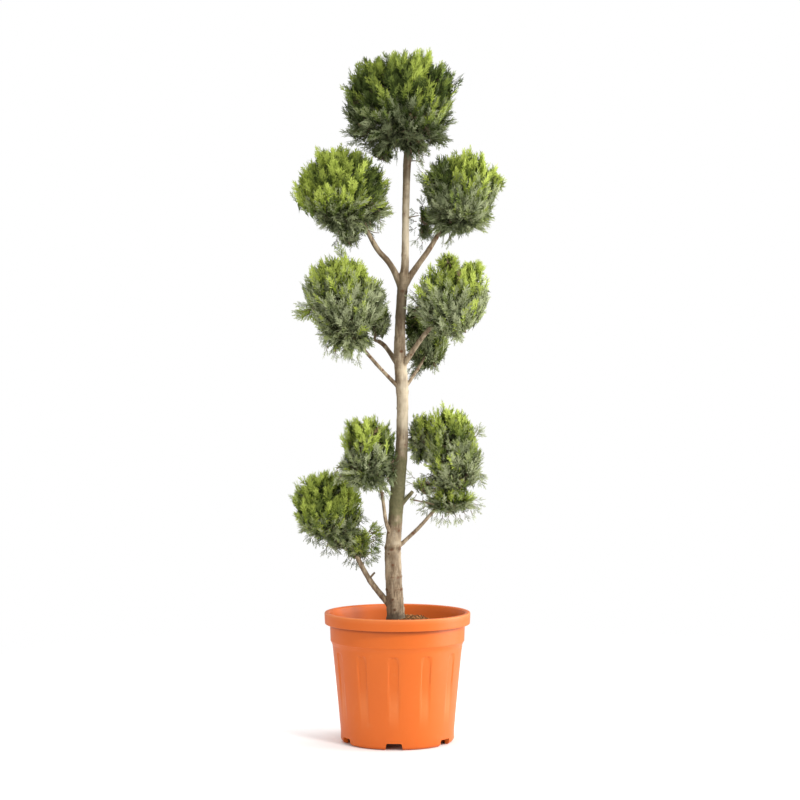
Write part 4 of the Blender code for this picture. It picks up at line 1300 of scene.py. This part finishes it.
def makePot():
    profile = potProfile()
    columns = pot["columns"]
    rimFoot = pot["height"] - pot["rimDepth"]
    highlightIn, highlightDown = pot["highlightSpread"]
    outerFrom = max(i for i, p in enumerate(profile) if p[1] >= pot["height"] - 0.0001)
    places, marks = [(0.0, 0.0, profile[0][1])], [(0.0, 0.0)]
    for row, (radius, height) in enumerate(profile[1:-1], 1):
        outside = row > outerFrom
        fluted = outside and height > pot["fluteFoot"] - pot["fluteFade"]
        # Painted shadow on the outside, just under the rim's foot.
        underRimShadow = smoothStep(rimFoot - pot["rimShadowDepth"], rimFoot - 0.0005, height)
        if not outside or radius >= pot["rim"] - pot["rimRound"] or height >= 0.285:
            underRimShadow = 0.0
        # Painted highlight on the rim's rounded top edge.
        highlightReach = ((radius - pot["rim"]) / highlightIn) ** 2 + ((height - pot["height"]) / highlightDown) ** 2
        for column in range(columns):
            angle = fullTurn * column / columns
            share = fluteShare(angle, height) if fluted else 0.0
            r = radius - pot["fluteDepth"] * share
            places.append((r * math.cos(angle), r * math.sin(angle), height))
            # The painted highlight also pales the flutes' sloping sides.
            marks.append((math.exp(-highlightReach) + share * (1.0 - share), underRimShadow))
    places.append((0.0, 0.0, profile[-1][1]))
    marks.append((0.0, 0.0))
    end = len(places) - 1
    faces = fanFaces(0, 1, columns) + ringFaces(1, len(profile) - 2, columns)
    faces += fanFaces(end, end - columns, columns, flip=True)
    mesh = meshFrom("orange_pot", places, faces)
    setAttributes(mesh, dict.fromkeys(("edgeWear", "grime"), "FLOAT"), marks)
    item = newObject("orange_pot", mesh)
    cutters = newCollection("notch_cutters")
    for index in range(pot["notches"]):
        addNotchCutter(index, cutters)
    cut = item.modifiers.new("notches", "BOOLEAN")
    cut.operation = "DIFFERENCE"
    cut.operand_type = "COLLECTION"
    cut.collection = cutters
    cut.solver = "EXACT"
    bakeNodes(item)
    dropCollection(cutters)
    mesh = item.data
    mesh.transform(Matrix.Rotation(pot["turn"], 4, "Z"))
    turnOutward(mesh)
    mesh.shade_smooth()
    mesh.set_sharp_from_angle(angle=math.radians(32.0))
    mesh.materials.clear()
    mesh.materials.append(potPlastic)
    return item


def addNotchCutter(index, cutters):
    # A gap with slanting sides and a rounded top through the foot ring.
    half, top, curve = pot["notchWidth"] / 2.0, pot["notchHeight"], pot["notchRound"]
    narrow = half * pot["notchTop"]
    outline = [(-half, -0.01), (-half, 0.0)]
    for turn in (math.radians(degrees) for degrees in (75.0, 45.0, 15.0)):
        outline.append((-narrow - curve * math.sin(turn), top - curve + curve * math.cos(turn)))
    outline += [(-x, z) for x, z in reversed(outline)]
    points = [(x, side * pot["notchReach"] / 2.0, z) for side in (-1.0, 1.0) for x, z in outline]
    count = len(outline)
    faces = [tuple(range(count)), tuple(reversed(range(count, 2 * count)))]
    faces += [(i, i + count, (i + 1) % count + count, (i + 1) % count) for i in range(count)]
    mesh = meshFrom("notch_%d" % index, points, faces)
    turnOutward(mesh)
    spin = Matrix.Rotation(fullTurn * index / pot["notches"], 4, "Z")
    mesh.transform(spin @ Matrix.Translation((0.0, -pot["foot"], 0.0)))
    newObject(mesh.name, mesh, cutters).hide_render = True


potPiece = makePot()
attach(potPiece, "root")
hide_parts("pot")
print("pot made:", len(potPiece.data.polygons), "faces")


# Compost

soil = {
    "crown": 0.2855, "crownRadius": 0.034, "slopeRadius": 0.1, "slopeHeight": 0.262,
    "edgeHeight": 0.258, "edgeRadius": 0.1518, "rings": 90, "columns": 150,
    "sink": 0.0006,
    # its roughness: how high, how fine, its own seed
    "rough": ((0.0022, 60.0, 1.0), (0.0012, 190.0, 4.0)),
    "taper": 0.82,                         # how much narrower its foot is than its surface
    "dip": 0.01,                           # how much lower it lies left of the trunk
    "heap": (0.066, 0.05, 0.046, 0.0105),  # a heap right of it: x, y, how wide, how high
}
crumb = {
    "shapes": 4, "density": 26000.0, "size": 0.0026, "seed": 4,
    "rings": 14, "columns": 48,  # of the sheet that they are scattered on
    "innerRadius": 0.026, "edgeRoom": 0.004,
}


def soilHeight(x, y):
    radius = math.hypot(x, y)
    crown, slope, edge = soil["crown"], soil["slopeHeight"], soil["edgeHeight"]
    heapX, heapY, wide, high = soil["heap"]
    heap = high * math.exp(-((x - heapX) ** 2 + (y - heapY) ** 2) / wide ** 2)
    dip = soil["dip"] * smoothStep(0.014, -0.02, x) * smoothStep(0.11, 0.05, radius)
    dip -= heap * smoothStep(0.15, 0.12, radius)
    if radius < soil["crownRadius"]:
        return crown - dip
    if radius < soil["slopeRadius"]:
        share = (radius - soil["crownRadius"]) / (soil["slopeRadius"] - soil["crownRadius"])
        return crown + (slope - crown) * (share * 0.7 + share * share * 0.3) - dip
    share = (radius - soil["slopeRadius"]) / (soil["edgeRadius"] - soil["slopeRadius"])
    return slope + (edge - slope) * share - dip


def makeSoil():
    places = [(0.0, 0.0, soil["crown"])]
    rings, columns = soil["rings"], soil["columns"]
    for ring in range(1, rings + 1):
        for x, y in circlePoints(soil["edgeRadius"] * ring / rings, columns):
            rough = sum(high * noise.noise((x * fine, y * fine, seed)) for high, fine, seed in soil["rough"])
            places.append((x, y, soilHeight(x, y) + rough - soil["sink"]))
    foot = len(places)
    footHeight = pot["floor"] + 2.0 * pot["wall"]
    places += [(x * soil["taper"], y * soil["taper"], footHeight) for x, y, _ in places[-columns:]]
    faces = fanFaces(0, 1, columns) + ringFaces(1, rings + 1, columns)
    faces.append(tuple(reversed(range(foot, foot + columns))))
    return smoothObject("compost", meshFrom("compost", places, faces), compost)


def crumbTree():
    tree = Tree("scatter_crumbs", {"Crumbs": "Collection", "Density": "Float", "Crumb Size": "Float",
                                   "Seed": "Int", "Finish": "Material"})
    size = tree.given("Crumb Size")
    points = tree.add("GeometryNodeDistributePointsOnFaces", {"distribute_method": "RANDOM"}, {
        "Mesh": tree.given("Geometry"), "Density": tree.given("Density"), "Seed": tree.given("Seed")})
    turn = tree.add("FunctionNodeRandomValue", {"data_type": "FLOAT_VECTOR"},
                    {0: (0.0, 0.0, 0.0), 1: (6.28, 6.28, 6.28), "Seed": 9})
    placed = tree.instances(points, "Crumbs", {"Rotation": turn, "Scale": tree.chance(size * 0.35, size)})
    return tree.finish(placed, {"Material": tree.given("Finish")})


def makeCrumbs():
    chance = random.Random(5)
    shelf = newCollection("crumb_shapes")
    for index in range(crumb["shapes"]):
        # The last one is a flat splinter.
        long, flat = (2.2, 0.5) if index == crumb["shapes"] - 1 else (1.0, 0.8)
        shape = bmesh.new()
        bmesh.ops.create_icosphere(shape, subdivisions=1, radius=1.0)
        for vertex in shape.verts:
            vertex.co = vertex.co * chance.uniform(0.65, 1.15)
            vertex.co.x *= long
            vertex.co.z *= flat
        mesh = bpy.data.meshes.new("crumb_%d" % index)
        shape.to_mesh(mesh)
        shape.free()
        newObject(mesh.name, mesh, shelf)
    places = []
    rings, columns = crumb["rings"], crumb["columns"]
    wide = soil["edgeRadius"] - crumb["innerRadius"] - crumb["edgeRoom"]
    for ring in range(rings):
        radius = crumb["innerRadius"] + wide * ring / (rings - 1)
        places += [(x, y, soilHeight(x, y)) for x, y in circlePoints(radius, columns)]
    item = newObject("compost_crumbs", meshFrom("compost_crumbs", places, ringFaces(0, rings, columns)))
    crumbTree().put(item, Crumbs=shelf, Density=crumb["density"], Crumb_Size=crumb["size"],
                    Seed=crumb["seed"], Finish=crumbs)
    bakeNodes(item)
    dropCollection(shelf)
    return item


soilPiece = makeSoil()
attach(soilPiece, "root")
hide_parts("soil")
crumbPiece = makeCrumbs()
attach(crumbPiece, "root")
print("compost made:", len(crumbPiece.data.polygons), "crumb faces")


# Floor, light and camera

stage = {
    "floorSize": 14.0,
    "floorColour": (0.9, 0.9, 0.9),
    "floorFade": (0.5, 2.2),  # how far out it melts into the white backdrop
    "skyLight": 0.74,
    "skySeen": 1.0,
}
# where, how high up the plant it aims, how large, how strong, its colour
lights = {
    "key": ((2.3, -3.0, 3.2), 0.8, 0.9, 112.0, (1.0, 0.985, 0.95)),
    "side": ((3.2, 0.1, 1.0), 0.7, 3.2, 150.0, (1.0, 1.0, 1.0)),
    "fill": ((-2.4, -3.4, 1.2), 0.8, 2.4, 22.0, (1.0, 1.0, 1.0)),
    "top": ((-0.4, 0.4, 3.6), 0.9, 1.8, 50.0, (1.0, 1.0, 1.0)),
}
camera = {"x": 0.006, "distance": 4.3, "height": 0.793, "lens": 83.0}


def areaLight(name, place, aim, size, power, colour):
    data = bpy.data.lights.new(name, "AREA")
    data.shape = "DISK"
    data.size = size
    data.energy = power
    data.color = colour
    item = newObject(name, data)
    item.location = place
    item.rotation_mode = "QUATERNION"
    item.rotation_quaternion = (up * aim - Vector(place)).to_track_quat("-Z", "Y")


def makeStage():
    scene = bpy.context.scene
    half = stage["floorSize"] / 2.0
    corners = [(-half, -half, 0), (half, -half, 0), (half, half, 0), (-half, half, 0)]
    mesh = meshFrom("studio_floor", corners, [(0, 1, 2, 3)])
    m = Nodes("studio_floor", roughness=0.9, specular=0.1)
    m.paint(stage["floorColour"])
    flat = m.add("ShaderNodeVectorMath", {"operation": "MULTIPLY"}, {0: m.place, 1: (1.0, 1.0, 0.0)})
    away = m.add("ShaderNodeVectorMath", {"operation": "LENGTH"}, {0: flat}, "Value")
    fade = m.add("ShaderNodeMixShader", None, {
        0: m.step(away, *stage["floorFade"]),
        1: Wire(m, m.shader.outputs[0]),
        2: m.add("ShaderNodeBsdfTransparent")})
    m.feed(m.tree.nodes["Material Output"], {"Surface": fade})
    mesh.materials.append(m.material)
    floor = newObject("studio_floor", mesh)
    floor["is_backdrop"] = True
    world = scene.world or bpy.data.worlds.new("studio")
    scene.world = world
    world.use_nodes = True
    sky = Graph(world.node_tree)
    seen = sky.add("ShaderNodeLightPath", output="Is Camera Ray")
    strength = sky.add("ShaderNodeMapRange", None, {
        "Value": seen, "To Min": stage["skyLight"], "To Max": stage["skySeen"]})
    sky.feed(world.node_tree.nodes["Background"], {"Color": (1.0, 1.0, 1.0), "Strength": strength})
    scene.view_settings.view_transform = "Standard"
    for name, look in lights.items():
        areaLight(name, *look)


makeStage()
camData = bpy.data.cameras.new("camera")
camData.lens = camera["lens"]
cam = newObject("camera", camData)
cam.location = (camera["x"], -camera["distance"], camera["height"])
cam.rotation_euler = (math.pi / 2.0, 0.0, 0.0)
bpy.context.scene.camera = cam

total = 0
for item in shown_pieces():
    total += sum(len(f.vertices) - 2 for f in item.data.polygons)
print("triangles in all:", total)
